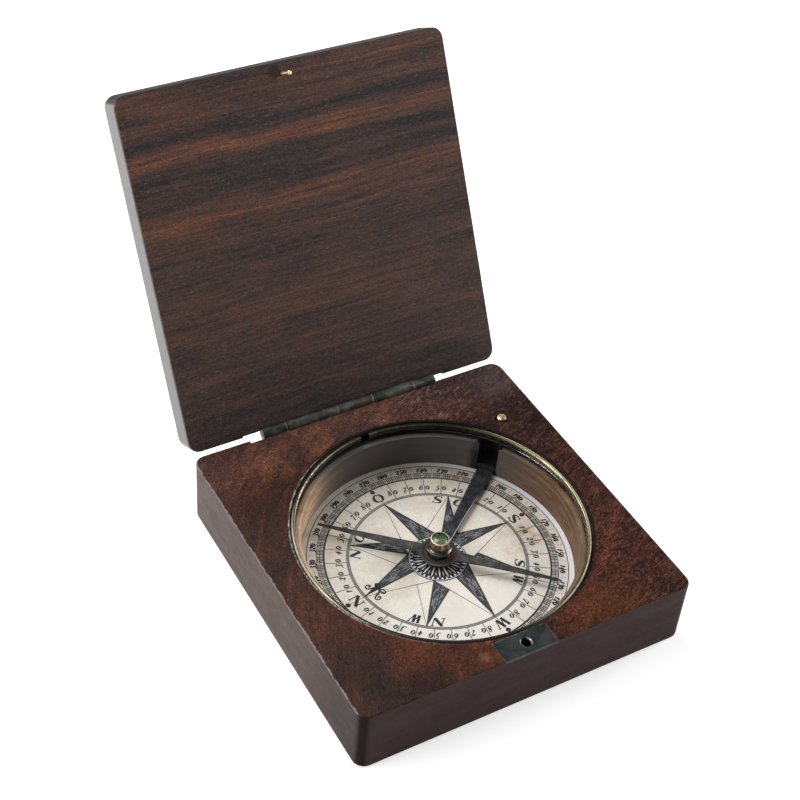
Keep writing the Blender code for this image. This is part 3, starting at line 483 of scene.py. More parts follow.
def rosewood():
    t = Tree("rosewood_polished", IOR=1.46, Specular_IOR_Level=0.42)
    p = t.at()
    x, y, z = t.xyz(p)
    out = t.math("ADD", t.math("MULTIPLY", t.math("SUBTRACT", y, HINGE_Y), LID_OUT.y),
                 t.math("MULTIPLY", t.math("SUBTRACT", z, HINGE_Z), LID_OUT.z))
    d = t.math("SUBTRACT", out, 0.55)                      # from the hinge edge
    deep = t.math("ADD", t.math("MULTIPLY", t.math("SUBTRACT", y, HINGE_Y), LID_FACE.y),
                  t.math("MULTIPLY", t.math("SUBTRACT", z, HINGE_Z), LID_FACE.z))
    wave = t.noise(t.vec(t.math("MULTIPLY", x, 0.016), t.math("MULTIPLY", d, 0.030),
                         t.math("MULTIPLY", deep, 0.05)), 1.0, 2.0, 0.5)
    ripple = t.noise(t.vec(t.math("MULTIPLY", x, 0.05), t.math("MULTIPLY", d, 0.12),
                           t.math("MULTIPLY", deep, 0.1)), 1.0, 2.0, 0.5)
    dd = t.math("ADD", d, t.math("MULTIPLY", t.math("SUBTRACT", wave, 0.5), 4.0))
    dd = t.math("ADD", dd, t.math("MULTIPLY", t.math("SUBTRACT", ripple, 0.5), 0.9))
    bands = t.ramp(t.math("DIVIDE", dd, 90.0), [
        (0.00, 0.28), (0.05, 0.18), (0.11, 0.42), (0.15, 0.20), (0.20, 0.44),
        (0.26, 0.32), (0.35, 0.50), (0.39, 0.32), (0.44, 0.44), (0.48, 0.26),
        (0.55, 0.34), (0.635, 0.62), (0.665, 0.45), (0.69, 0.10), (0.725, 0.42),
        (0.755, 0.07), (0.79, 0.56), (0.82, 0.76), (0.85, 0.14), (0.865, 0.08),
        (0.895, 0.68), (0.93, 0.22), (0.965, 0.60), (1.0, 0.32)], "B_SPLINE")
    line = t.noise(t.vec(t.math("MULTIPLY", x, 0.010), t.math("MULTIPLY", dd, 0.75),
                         t.math("MULTIPLY", deep, 0.6)), 1.0, 4.0, 0.75, 0.0)
    hair = t.noise(t.vec(t.math("MULTIPLY", x, 0.055), t.math("MULTIPLY", dd, 2.6),
                         t.math("MULTIPLY", deep, 2.4)), 1.0, 2.0, 0.6)
    grit = t.noise(t.vec(t.math("MULTIPLY", x, 0.85), t.math("MULTIPLY", d, 2.6),
                         t.math("MULTIPLY", deep, 2.4)), 1.0, 3.0, 0.7)
    patch = t.noise(t.vec(t.math("MULTIPLY", x, 0.040), t.math("MULTIPLY", dd, 0.22),
                          t.math("MULTIPLY", deep, 0.2)), 1.0, 3.0, 0.6, 0.0)
    salt = t.noise(t.vec(x, d, deep), 2.6, 2.0, 0.8)
    fibre = t.noise(t.vec(t.math("MULTIPLY", x, 0.035), t.math("MULTIPLY", dd, 1.5),
                          t.math("MULTIPLY", deep, 1.2)), 1.0, 3.0, 0.75, 0.25)
    torn = t.math("MULTIPLY", t.math("SUBTRACT", bands, 0.28), t.span(
        fibre, 0.34, 0.62, 0.25, 1.30, False))
    tone = t.math("ADD", t.math("MULTIPLY", torn, 0.95), 0.33)
    tone = t.math("ADD", tone, t.math("MULTIPLY", t.math("SUBTRACT", patch, 0.5), 0.55))
    tone = t.math("ADD", tone, t.math("MULTIPLY", t.math("SUBTRACT", line, 0.5), 0.55))
    tone = t.math("ADD", tone, t.math("MULTIPLY", t.math("SUBTRACT", hair, 0.5), 0.65))
    tone = t.math("ADD", tone, t.math("MULTIPLY", t.math("SUBTRACT", salt, 0.5), 1.30))
    tone = t.math("ADD", tone, t.math("MULTIPLY", t.math("SUBTRACT", grit, 0.5), 0.85),
                  clamp=True)
    wood = t.ramp(tone, [(0.0, (0.0138, 0.0150, 0.0168)), (0.25, (0.0362, 0.0278, 0.0268)),
                         (0.5, (0.0800, 0.0450, 0.0352)), (0.75, (0.1500, 0.0600, 0.0325)),
                         (1.0, (0.2750, 0.1060, 0.0450))])
    pores = t.noise(t.vec(t.math("MULTIPLY", x, 0.70), t.math("MULTIPLY", d, 3.6),
                          t.math("MULTIPLY", deep, 3.2)), 1.0, 1.0, 0.5)
    wood = t.mix(t.span(pores, 0.68, 0.76, 0.0, 0.60), wood, (0.190, 0.160, 0.140))
    wood = t.mix(t.span(pores, 0.26, 0.34, 0.5, 0.0), wood, (0.006, 0.005, 0.005))
    # where the prong's wire was pressed in, and painted shade along the hinge edge
    dent = t.vmath("LENGTH", t.vec(t.math("ADD", x, 3.2), t.math("SUBTRACT", d, 87.9),
                                   0.0))
    inner = t.span(t.vmath("DOT_PRODUCT", t.local_normal(), tuple(LID_FACE)), 0.3, 0.6)
    wood = t.mix(t.math("MULTIPLY", inner, t.span(dent, 0.9, 2.2, 0.75, 0.0)), wood,
                 (0.012, 0.014, 0.013))
    # painted shade in the cove along the hinge edge
    edge = t.math("MULTIPLY", t.span(d, 0.2, 2.2, 1.0, 0.0),
                  t.span(t.math("ABSOLUTE", t.math("ADD", x, 0.8)), 30, 35, 1.0, 0.0))
    wood = t.mix(t.math("MULTIPLY", edge, 0.6), wood, (0.010, 0.010, 0.011))
    # painted reflection: the left end of the lid is pale grey; the right end is dark brown
    sx, _, _ = t.xyz(t.local_normal())
    wood = t.mix(t.span(sx, -0.45, -0.85, 0.0, 0.88), wood, (0.155, 0.154, 0.151))
    wood = t.mix(t.span(sx, 0.45, 0.85, 0.0, 0.65), wood, (0.030, 0.019, 0.015))
    # painted shade: the free edge is dark, and rougher
    up = t.span(t.vmath("DOT_PRODUCT", t.local_normal(), tuple(LID_OUT)), 0.35, 0.6)
    wood = t.mix(t.math("MULTIPLY", up, t.span(hair, 0.36, 0.64, 0.68, 0.93)), wood,
                 (0.010, 0.008, 0.008))
    t.set("Base Color", wood)
    rough = t.math("ADD", t.math("MULTIPLY", hair, 0.22), t.math("MULTIPLY", line, 0.12))
    rough = t.math("ADD", rough, t.math("MULTIPLY", up, 0.45))
    t.set("Roughness", t.math("ADD", rough, 0.24, clamp=True))
    height = t.math("ADD", t.math("MULTIPLY", hair, 0.6),
                    t.math("MULTIPLY", t.span(pores, 0.58, 0.74, 0.0, -1.0), 0.6))
    t.bump(height, 0.22, 0.08)
    return t.mat


# --------------------------------------------------------------- card, inks
N_HEADING = math.radians(-172.24)             # where the card's north points


def paper():
    t = Tree("card_paper", IOR=1.4)
    r, dx, dy, _ = t.polar()
    fibre = t.noise(t.at(), 1.6, 5.0, 0.65)
    cloud = t.noise(t.at(), 0.10, 3.0, 0.6, 0.4)
    cream = t.ramp(t.span(cloud, 0.34, 0.68, smooth=False),
                   [(0.0, (0.560, 0.500, 0.415)), (0.5, (0.655, 0.605, 0.525)),
                    (1.0, (0.715, 0.680, 0.615))])
    cream = t.mix(t.span(fibre, 0.35, 0.75, 0.0, 0.45), cream, (0.47, 0.40, 0.31))
    # browner towards the rim, and foxed on the south side
    tired = t.span(r, 21, 33)
    cream = t.mix(t.math("MULTIPLY", tired, 0.30), cream, (0.50, 0.43, 0.33))
    for k, rr, size, amount, c in (
            (192, 24.4, 2.4, 0.50, (0.42, 0.27, 0.14)),
            (199, 26.6, 1.7, 0.55, (0.36, 0.21, 0.10)),
            (184, 20.8, 2.6, 0.28, (0.47, 0.30, 0.18)),
            (203, 21.6, 2.2, 0.32, (0.45, 0.30, 0.17)),
            (207, 18.4, 1.8, 0.22, (0.48, 0.34, 0.20)),
            (262, 19.0, 2.6, 0.18, (0.50, 0.38, 0.25)),
            (118, 20.0, 3.2, 0.16, (0.50, 0.38, 0.28)),
            (70, 15.0, 3.0, 0.14, (0.52, 0.38, 0.30)),
            (350, 15.5, 2.6, 0.14, (0.52, 0.45, 0.30)),
            (226, 26.0, 1.8, 0.40, (0.42, 0.30, 0.18)),
            (195, 29.6, 1.6, 0.35, (0.36, 0.24, 0.14))):
        ang = N_HEADING - math.radians(k)
        m = t.blob(CX + rr * math.cos(ang), CY + rr * math.sin(ang), size, 0.75)
        m = t.math("MULTIPLY", m, t.span(t.noise(t.at(), 0.75, 3.0, 0.7), 0.36, 0.62))
        cream = t.mix(t.math("MULTIPLY", m, min(0.9, amount * 1.5)), cream, c)
    # painted shade darkens the rear, where the bowl's wall shades the card; painted light brightens the
    # front
    cream = t.mix(t.span(dy, 12, 34, 0.0, 0.75), cream,
                  t.mix(1.0, cream, (0.60, 0.605, 0.595), "MULTIPLY"))
    cream = t.mix(t.span(dy, -2, -22, 0.0, 0.65), cream, (0.685, 0.665, 0.630))
    cream = t.mix(t.span(dx, 4, -24), cream, t.mix(1.0, cream, (0.965, 1.0, 1.03),
                                                   "MULTIPLY"))
    # small specks
    speck = t.cells(t.at(), 0.32)
    cream = t.mix(t.span(speck, 0.035, 0.09, 0.45, 0.0), cream, (0.22, 0.15, 0.09))
    # the bare rim is whiter on the south-east side
    ang = N_HEADING - math.radians(180)
    toward = t.math("ADD", t.math("MULTIPLY", dx, math.cos(ang)),
                    t.math("MULTIPLY", dy, math.sin(ang)))
    rim = t.math("MULTIPLY", t.span(r, 32.7, 32.95), t.span(toward, 5, 26))
    cream = t.mix(t.math("MULTIPLY", rim, 0.9), cream, (0.72, 0.73, 0.74))
    t.set("Base Color", cream)
    t.set("Roughness", t.span(fibre, 0.3, 0.7, 0.78, 0.92, False))
    t.bump(fibre, 0.15, 0.05)
    return t.mat


def ink(name, dark, pale, low=0.35, high=0.65, scale=0.9):
    t = Tree(name, rough=0.75, IOR=1.4)
    n = t.noise(t.at(), scale, 5.0, 0.72)
    fine = t.noise(t.at(), scale * 5, 3.0, 0.6)
    n = t.math("ADD", t.math("MULTIPLY", n, 0.6), t.math("MULTIPLY", fine, 0.4))
    t.set("Base Color", t.ramp(t.span(n, low, high, smooth=False),
                               [(0.0, dark), (1.0, pale)]))
    t.bump(fine, 0.10, 0.02)
    return t.mat


# ------------------------------------------------------------------- metals
def old_brass(name, bright, mid, dark, lo=0.40, hi=0.62, rough=(0.16, 0.50), seed=0.0,
              ring=False):
    t = Tree(name)
    p = t.vmath("ADD", t.at(), (seed, seed * 0.7, seed * 1.3))
    big = t.noise(p, 0.16, 4.0, 0.6, 0.8)
    small = t.noise(p, 1.3, 4.0, 0.65)
    n = t.math("ADD", t.math("MULTIPLY", big, 0.62), t.math("MULTIPLY", small, 0.38))
    if ring:
        r, dx, dy, _ = t.polar()
        # darker outside, with a painted highlight along the inner edge except behind
        n = t.math("MULTIPLY", t.math("SUBTRACT", n, 0.5), t.span(dx, -25, 10, 0.40, 0.36))
        n = t.math("ADD", n, t.span(r, 36.12, 36.45, 0.40, 0.62))
        n = t.math("ADD", n, t.span(dx, 0, 30, 0.0, 0.05))
        n = t.math("SUBTRACT", n, t.math("MULTIPLY", t.span(dx, -22, -32), t.span(
            dy, 4, -12, 0.0, 0.12)))
        _, _, _, rz = t.polar()
        crest = t.math("MULTIPLY", t.span(rz, 17.55, 17.72), t.span(r, 36.75, 36.6))
        # painted shade darkens the back of the ring, less on its crest
        shade_and_dulling = t.span(t.math("SUBTRACT", dy, t.math("MULTIPLY", dx, 0.12)), 4, 20, 0.0, 1.0)
        shade_and_dulling = t.math("MULTIPLY", shade_and_dulling, t.math("SUBTRACT", 1.0, t.math(
            "MULTIPLY", crest, 0.45)))
        shade_and_dulling = t.math("SUBTRACT", 1.0, t.math("MULTIPLY", shade_and_dulling, 0.86))
        # on the right the ring is painted darker, leaving only a thin painted highlight on the strip's
        # crest
        low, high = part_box("bezel_ring")
        outer = (high.x - low.x) / 2 / MM
        off = t.span(t.math("ABSOLUTE", t.math("SUBTRACT", r, outer - 0.52)),
                     0.05, 0.20)
        shade_and_dulling = t.math("MULTIPLY", shade_and_dulling, t.math("SUBTRACT", 1.0, t.math(
            "MULTIPLY", off, t.span(dx, 0, 20, 0.0, 0.62))))
        shade_and_dulling = t.math("MULTIPLY", shade_and_dulling, t.span(dx, 10, 32, 1.0, 0.80))
        # and the front left is tarnished
        tarnish = t.math("MULTIPLY", t.span(dy, -3, -11), t.span(dx, 12, -2))
        shade_and_dulling = t.math("MULTIPLY", shade_and_dulling, t.math("SUBTRACT", 1.0, t.math(
            "MULTIPLY", tarnish, t.span(small, 0.40, 0.62, 0.86, 0.62))))
        # painted shade: darker again behind
        n = t.math("ADD", n, t.span(t.math("SUBTRACT", dy, t.math(
            "MULTIPLY", dx, 0.15)), 18, 33, 0.0, 0.13))
    # for the ring, worn also carries these painted highlights and shade
    worn = t.span(n, lo, hi)
    colour = t.ramp(worn, [(0.0, bright), (0.5, mid), (1.0, dark)])
    if ring:
        colour = t.mix(1.0, colour, t.vec(shade_and_dulling, shade_and_dulling, shade_and_dulling), "MULTIPLY")
        colour = t.mix(t.span(dx, 4, 22, 0.0, 0.8), colour,
                       t.mix(1.0, colour, (0.96, 0.89, 0.70), "MULTIPLY"))
    metallic = t.span(worn, 0.0, 1.0, 1.0, 0.55, False)
    if ring:
        # a painted highlight: a thin pale line all along the right and the front, wider on the left
        line = t.math("MULTIPLY", t.math("SUBTRACT", 1.0, off), t.math(
            "MULTIPLY", t.span(t.math("SUBTRACT", dx, t.math("MULTIPLY", dy, 0.6)), 6, 22),
            t.span(dx, 2, 18)))
        wide = t.span(t.math("ABSOLUTE", t.math("SUBTRACT", r, outer - 0.52)),
                      0.12, 0.30, 1.0, 0.0)
        wide = t.math("MULTIPLY", wide, t.math("MULTIPLY", t.span(dx, -12, -26), t.math(
            "MULTIPLY", t.span(dy, 24, 12), t.span(dy, -15, -8))))
        line = t.math("MAXIMUM", line, t.math("MULTIPLY", wide, 0.75))
        line = t.math("MULTIPLY", line, t.span(small, 0.34, 0.50, 0.55, 1.0))
        line = t.math("MULTIPLY", line, t.span(rz, 17.3, 17.5))
        colour = t.mix(t.math("MULTIPLY", line, 0.85), colour, (0.56, 0.49, 0.30))
        metallic = t.math("SUBTRACT", metallic, t.math("MULTIPLY", line, 0.60), clamp=True)
    t.set("Base Color", colour)
    t.set("Metallic", metallic)
    t.set("Roughness", t.span(n, lo - 0.05, hi, rough[0], rough[1], False))
    t.bump(small, 0.04 if ring else 0.12, 0.05)
    return t.mat


def dark_metal(name, base, worn, scratch=0.35, rough=0.42, grain=(0.2, 2.0, 2.0),
               knuckle=False, hole=None):
    t = Tree(name)
    x, y, z = t.xyz(t.at())
    big = t.noise(t.at(), 0.22, 4.0, 0.6, 0.5)
    fine = t.noise(t.vec(t.math("MULTIPLY", x, grain[0]), t.math("MULTIPLY", y, grain[1]),
                         t.math("MULTIPLY", z, grain[2])), 1.0, 4.0, 0.7)
    col = t.mix(t.span(big, 0.38, 0.66), base, worn)
    col = t.mix(t.span(fine, 0.60, 0.74, 0.0, scratch), col, (0.24, 0.25, 0.22))
    if hole:
        # the hole's rim is worn bright at its left and right; the plate's edges get a painted highlight
        hx, hy, hr = hole
        ox = t.math("SUBTRACT", x, hx)
        ring = t.vmath("LENGTH", t.vec(ox, t.math("SUBTRACT", y, hy), 0.0))
        rim = t.span(t.math("ABSOLUTE", t.math("SUBTRACT", ring, hr)), 0.10, 0.34, 1.0, 0.0)
        rim = t.math("MULTIPLY", rim, t.span(t.math("ABSOLUTE", ox), 0.5, 1.0))
        col = t.mix(t.math("MULTIPLY", rim, 0.8), col, (0.42, 0.39, 0.32))
        low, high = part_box("catch_plate")
        side = t.math("MINIMUM", t.math("SUBTRACT", x, low.x / MM),
                      t.math("SUBTRACT", high.x / MM, x))
        side = t.math("MINIMUM", side, t.math("SUBTRACT", high.y / MM, y))
        col = t.mix(t.math("MULTIPLY", t.span(side, 0.08, 0.30, 1.0, 0.0),
                           t.span(fine, 0.44, 0.60, 0.1, 0.8)), col, (0.20, 0.19, 0.17))
    if knuckle:
        # brown, rubbed brass on the middle knuckle's right, and light scratches
        near = t.span(t.math("ABSOLUTE", t.math("SUBTRACT", x, 3.9)), 2.6, 3.2, 1.0, 0.0)
        col = t.mix(t.math("MULTIPLY", near, t.span(fine, 0.36, 0.60, 0.25, 0.75)), col,
                    (0.115, 0.070, 0.038))
        for sx, w in ((-18.9, 0.22), (-3.8, 0.20), (6.4, 0.32), (18.9, 0.22)):
            m = t.span(t.math("ABSOLUTE", t.math("SUBTRACT", t.math(
                "ADD", x, t.math("MULTIPLY", t.math("SUBTRACT", big, 0.5), 1.2)), sx)),
                w * 0.3, w, 0.55, 0.0)
            col = t.mix(m, col, (0.40, 0.36, 0.26))
    t.set("Base Color", col)
    t.set("Metallic", t.span(big, 0.3, 0.7, 0.80, 0.55, False))
    t.set("Roughness", t.span(fine, 0.3, 0.7, rough - 0.08, rough + 0.12, False))
    t.bump(fine, 0.15, 0.05)
    return t.mat


def blued(name, lever=False):
    t = Tree(name, metal=0.75 if lever else 0.55)
    n = t.noise(t.at(), 0.45, 4.0, 0.65, 0.4)
    fine = t.noise(t.at(), 3.0, 4.0, 0.7)
    col = t.ramp(t.span(n, 0.34, 0.66, smooth=False),
                 [(0.0, (0.022, 0.024, 0.027)), (0.5, (0.038, 0.041, 0.044)),
                  (1.0, (0.070, 0.070, 0.066))])
    col = t.mix(t.span(fine, 0.60, 0.72, 0.0, 0.45), col, (0.020, 0.017, 0.015))
    if lever:
        # painted shade inside the slot, and a painted highlight along its front edge
        r, _, _, _ = t.polar()
        deep = t.span(r, 32.6, 34.2)
        col = t.mix(1.0, col, (1.25, 1.28, 1.36), "MULTIPLY")
        col = t.mix(deep, col, (0.0030, 0.0032, 0.0040))
        c, sn = math.cos(math.radians(38.15)), math.sin(math.radians(38.15))
        _, dx, dy, lz = t.polar()
        across = t.math("SUBTRACT", t.math("MULTIPLY", dy, c), t.math("MULTIPLY", dx, sn))
        out = t.math("ADD", t.math("MULTIPLY", dx, c), t.math("MULTIPLY", dy, sn))
        half = t.math("MINIMUM", 2.1, t.math("ADD", 0.827, t.math("MULTIPLY", out, 0.041)))
        edge = t.math("ABSOLUTE", t.math("SUBTRACT", t.math("ADD", across, half), 0.20))
        edge = t.span(edge, 0.05, 0.13, 1.0, 0.0)
        edge = t.math("MULTIPLY", edge, t.span(lz, 6.66, 6.72))
        edge = t.math("MULTIPLY", edge, t.span(r, 18.0, 26.0, 0.95, 0.0))
        edge = t.math("MULTIPLY", edge, t.span(fine, 0.36, 0.50, 0.55, 1.0))
        col = t.mix(edge, col, (0.50, 0.50, 0.48))
        t.set("Metallic", t.math("MULTIPLY", t.span(r, 32.6, 34.2, 0.75, 0.0), t.math(
            "SUBTRACT", 1.0, edge)))
    else:
        col = t.mix(1.0, col, (1.75, 1.70, 1.45), "MULTIPLY")
        r, ndx, _, _ = t.polar()
        col = t.mix(t.span(ndx, -10, -24), col, t.mix(1.0, col, (0.38, 0.36, 0.36),
                                                      "MULTIPLY"))
        turned = t.noise(t.vec(t.math("MULTIPLY", r, 2.6), 0.0, 0.0), 1.0, 2.0, 0.6)
        hub = t.span(r, 4.4, 4.9, 1.0, 0.0)
        col = t.mix(t.math("MULTIPLY", hub, 0.85), col, t.mix(
            t.span(turned, 0.42, 0.60), (0.026, 0.018, 0.016), (0.075, 0.058, 0.050)))
        rust = t.blob(CX + 3.0, CY - 2.2, 1.4, 0.8)
        col = t.mix(t.math("MULTIPLY", rust, 0.55), col, (0.120, 0.040, 0.034))
    t.set("Base Color", col)
    rough = t.span(fine, 0.3, 0.7, 0.30, 0.46, False)
    if lever:
        rough = t.math("ADD", rough, t.span(r, 32.6, 34.2, 0.0, 0.5), clamp=True)
    t.set("Roughness", rough)
    t.bump(fine, 0.12, 0.04)
    return t.mat


def cap_metal():
    """Gunmetal flange and collar; the throat that holds the jewel is amber."""
    t = Tree("needle_cap_metal")
    x, y, z = t.xyz(t.at())
    n = t.noise(t.at(), 0.9, 4.0, 0.65, 0.6)
    fine = t.noise(t.vec(t.math("MULTIPLY", x, 0.9), t.math("MULTIPLY", y, 0.9),
                         t.math("MULTIPLY", z, 0.7)), 1.0, 4.0, 0.6)
    dark = t.ramp(t.span(n, 0.35, 0.65, smooth=False),
                  [(0.0, (0.024, 0.026, 0.024)), (0.6, (0.055, 0.058, 0.052)),
                   (1.0, (0.120, 0.110, 0.085))])
    amber = t.ramp(t.span(fine, 0.36, 0.64, smooth=False),
                   [(0.0, (0.030, 0.026, 0.016)), (0.50, (0.110, 0.075, 0.038)),
                    (0.80, (0.300, 0.180, 0.070)), (1.0, (0.520, 0.380, 0.190))])
    up = t.span(z, 10.95, 11.15)
    rim = t.span(z, 12.80, 12.95)
    r, _, _, _ = t.polar()
    # painted highlights: thin pale lines round the flange's rims
    lines = t.math("MAXIMUM", t.span(t.math("ABSOLUTE", t.math("SUBTRACT", r, 3.06)),
                                     0.03, 0.12, 1.0, 0.0),
                   t.span(t.math("ABSOLUTE", t.math("SUBTRACT", r, 2.62)),
                          0.03, 0.09, 0.7, 0.0))
    dark = t.mix(t.math("MULTIPLY", lines, t.span(n, 0.30, 0.55, 0.35, 0.9)), dark,
                 (0.300, 0.310, 0.280))
    col = t.mix(up, dark, amber)
    # painted highlight along the top rim
    col = t.mix(rim, col, (0.620, 0.580, 0.400))
    t.set("Base Color", col)
    t.set("Metallic", t.math("ADD", t.math("MULTIPLY", up, -0.35), 0.85))
    t.set("Roughness", t.span(fine, 0.3, 0.7, 0.18, 0.36, False))
    t.bump(fine, 0.20, 0.05)
    return t.mat


def plain_steel():
    t = Tree("screw_steel", metal=0.9)
    n = t.noise(t.at(), 1.2, 4.0, 0.65)
    t.set("Base Color", t.ramp(t.span(n, 0.35, 0.65, smooth=False),
                               [(0.0, (0.10, 0.095, 0.085)), (1.0, (0.30, 0.29, 0.27))]))
    t.set("Roughness", t.span(n, 0.3, 0.7, 0.30, 0.50, False))
    t.bump(n, 0.1, 0.03)
    return t.mat


def pane():
    """Thin clear glass: it mirrors by Fresnel, and its cut edge is green."""
    t = Tree("window_glass", rough=0.03, metal=1.0)
    lw = t.node("ShaderNodeLayerWeight")
    lw.inputs["Blend"].default_value = 0.5
    graze = t.math("POWER", lw.outputs["Facing"], 5.0)
    fres = t.math("ADD", t.math("MULTIPLY", graze, 0.75), 0.005)
    r, dx, dy, z = t.polar()
    edge = t.span(r, 36.70, 36.78)
    n = t.noise(t.at(), 0.35, 3.0, 0.6, 0.5)
    glint = t.math("MULTIPLY", t.span(z, 16.0, 16.2), t.span(n, 0.40, 0.60))
    teal = t.mix(glint, (0.008, 0.022, 0.023), (0.110, 0.240, 0.210))
    t.set("Base Color", t.mix(edge, (0.93, 0.96, 0.95), teal))
    smear = t.noise(t.vec(t.math("MULTIPLY", dx, 0.05), t.math("MULTIPLY", dy, 0.12), 0.0),
                    1.0, 4.0, 0.6, 1.0)
    see = t.math("ADD", fres, t.span(smear, 0.52, 0.72, 0.0, 0.004))
    t.set("Alpha", t.math("MAXIMUM", see, edge, clamp=True))
    return t.mat


def jewel_glass():
    t = Tree("cap_agate", rough=0.14, IOR=1.50)
    x, y, z = t.xyz(t.at())
    low = t.math("SUBTRACT", t.math("SUBTRACT", CX, x), t.math("SUBTRACT", y, CY))
    n = t.noise(t.at(), 1.3, 4.0, 0.65, 1.4)
    k = t.math("ADD", t.math("MULTIPLY", low, 0.12), t.math("MULTIPLY", t.math("SUBTRACT", n, 0.5), 2.2))
    col = t.ramp(t.span(k, -0.45, 0.50, smooth=False),
                 [(0.0, (0.006, 0.015, 0.008)), (0.35, (0.024, 0.058, 0.024)),
                  (0.62, (0.095, 0.150, 0.078)), (1.0, (0.200, 0.140, 0.066))])
    t.set("Base Color", col)
    t.set("Coat Weight", 0.20)
    t.set("Coat Roughness", 0.20)
    return t.mat


MAT_WOOD = mahogany()
MAT_LID = rosewood()
MAT_CARD = paper()
MAT_INK = ink("print_ink", (0.009, 0.010, 0.012), (0.035, 0.036, 0.040))
MAT_GREY = ink("print_hatch", (0.014, 0.016, 0.021), (0.110, 0.112, 0.120), 0.42, 0.66, 1.3)
MAT_WHITE = ink("print_white", (0.60, 0.59, 0.57), (0.86, 0.87, 0.87), 0.30, 0.60, 1.5)
MAT_PALE = ink("print_gaps", (0.100, 0.100, 0.105), (0.520, 0.510, 0.490), 0.34, 0.60, 1.6)
MAT_FINE = ink("print_fine", (0.030, 0.029, 0.029), (0.110, 0.105, 0.100))
MAT_TINT = ink("print_tint", (0.120, 0.115, 0.105), (0.270, 0.255, 0.225))
MAT_BRASS = old_brass("ring_brass", (0.92, 0.87, 0.68), (0.33, 0.28, 0.15),
                      (0.020, 0.019, 0.017), 0.42, 0.60, (0.16, 0.42), 3.0, True)
MAT_CAP = cap_metal()
MAT_POST = old_brass("post_brass", (0.42, 0.34, 0.17), (0.14, 0.12, 0.075),
                     (0.035, 0.032, 0.028), 0.40, 0.62, (0.22, 0.45), 9.0)
MAT_PIN = old_brass("pin_brass", (0.95, 0.74, 0.42), (0.72, 0.50, 0.25),
                    (0.20, 0.13, 0.07), 0.46, 0.72, (0.25, 0.45), 17.0)
MAT_PLATE = dark_metal("plate_brass", (0.020, 0.024, 0.025), (0.033, 0.037, 0.038), 0.12,
                       0.42, (1.2, 0.35, 1.0), hole=(-0.8, -42.0, 1.25))
MAT_HINGE = dark_metal("hinge_brass", (0.064, 0.065, 0.059), (0.170, 0.167, 0.140), 0.50,
                       0.34, (0.15, 2.0, 2.0), True)
MAT_STEEL = blued("needle_steel")
MAT_LEVER = blued("lever_steel", True)
MAT_SCREW = plain_steel()
MAT_GLASS = pane()
MAT_JEWEL = jewel_glass()

FINISH = {
    "base_box": MAT_WOOD, "lid_board": MAT_LID, "compass_card": MAT_CARD,
    "glass_window": MAT_GLASS, "bezel_ring": MAT_BRASS, "needle": MAT_STEEL,
    "needle_cap": MAT_CAP, "cap_jewel": MAT_JEWEL, "pivot_post": MAT_POST,
    "pivot_point": MAT_SCREW, "lifter_lever": MAT_LEVER, "lever_fulcrum_pin": MAT_SCREW,
    "lock_pin": MAT_PIN, "catch_plate": MAT_PLATE, "lid_prong": MAT_PIN,
    "hinge_leaf_base": MAT_HINGE, "hinge_leaf_lid": MAT_HINGE, "hinge_pin": MAT_SCREW,
}


# ------------------------------------------------ smooth shading for the CAD
def smoother():
    """Welds a node's facets and shades it smooth up to 35 degrees."""
    g = bpy.data.node_groups.new("weld_and_smooth", "GeometryNodeTree")
    g.interface.new_socket("Geometry", in_out="INPUT", socket_type="NodeSocketGeometry")
    g.interface.new_socket("Geometry", in_out="OUTPUT", socket_type="NodeSocketGeometry")
    i = g.nodes.new("NodeGroupInput")
    o = g.nodes.new("NodeGroupOutput")
    weld = g.nodes.new("GeometryNodeMergeByDistance")
    weld.inputs["Distance"].default_value = 2e-6
    face = g.nodes.new("GeometryNodeSetShadeSmooth")
    face.domain = "FACE"
    face.inputs["Shade Smooth"].default_value = True
    edge = g.nodes.new("GeometryNodeSetShadeSmooth")
    edge.domain = "EDGE"
    edge.inputs["Shade Smooth"].default_value = False
    angle = g.nodes.new("GeometryNodeInputMeshEdgeAngle")
    sharp = g.nodes.new("FunctionNodeCompare")
    sharp.operation = "GREATER_THAN"
    sharp.inputs[1].default_value = math.radians(35)
    g.links.new(i.outputs[0], weld.inputs["Geometry"])
    g.links.new(weld.outputs[0], face.inputs["Geometry"])
    g.links.new(face.outputs[0], edge.inputs["Geometry"])
    g.links.new(angle.outputs[0], sharp.inputs[0])
    g.links.new(sharp.outputs[0], edge.inputs["Selection"])
    g.links.new(edge.outputs[0], o.inputs[0])
    return g


SMOOTH = smoother()
for name, ob in nodes.items():
    ob.data.materials.clear()
    ob.data.materials.append(FINISH.get(name, MAT_SCREW))
    soft_edge = {"lifter_lever": 0.10, "needle": 0.05, "catch_plate": 0.06,
                 "hinge_leaf_base": 0.07, "hinge_leaf_lid": 0.07}.get(name)
    if soft_edge:
        w = ob.modifiers.new("weld", "WELD")
        w.merge_threshold = 2e-6
        b = ob.modifiers.new("edges", "BEVEL")
        b.width = soft_edge * MM
        b.segments = 2
        b.limit_method = "ANGLE"
        b.angle_limit = math.radians(50)
    m = ob.modifiers.new("smooth", "NODES")
    m.node_group = SMOOTH
    if soft_edge:
        # flat faces stay flat beside their rounded edges
        w = ob.modifiers.new("flat", "WEIGHTED_NORMAL")
        w.weight = 50
        w.keep_sharp = True


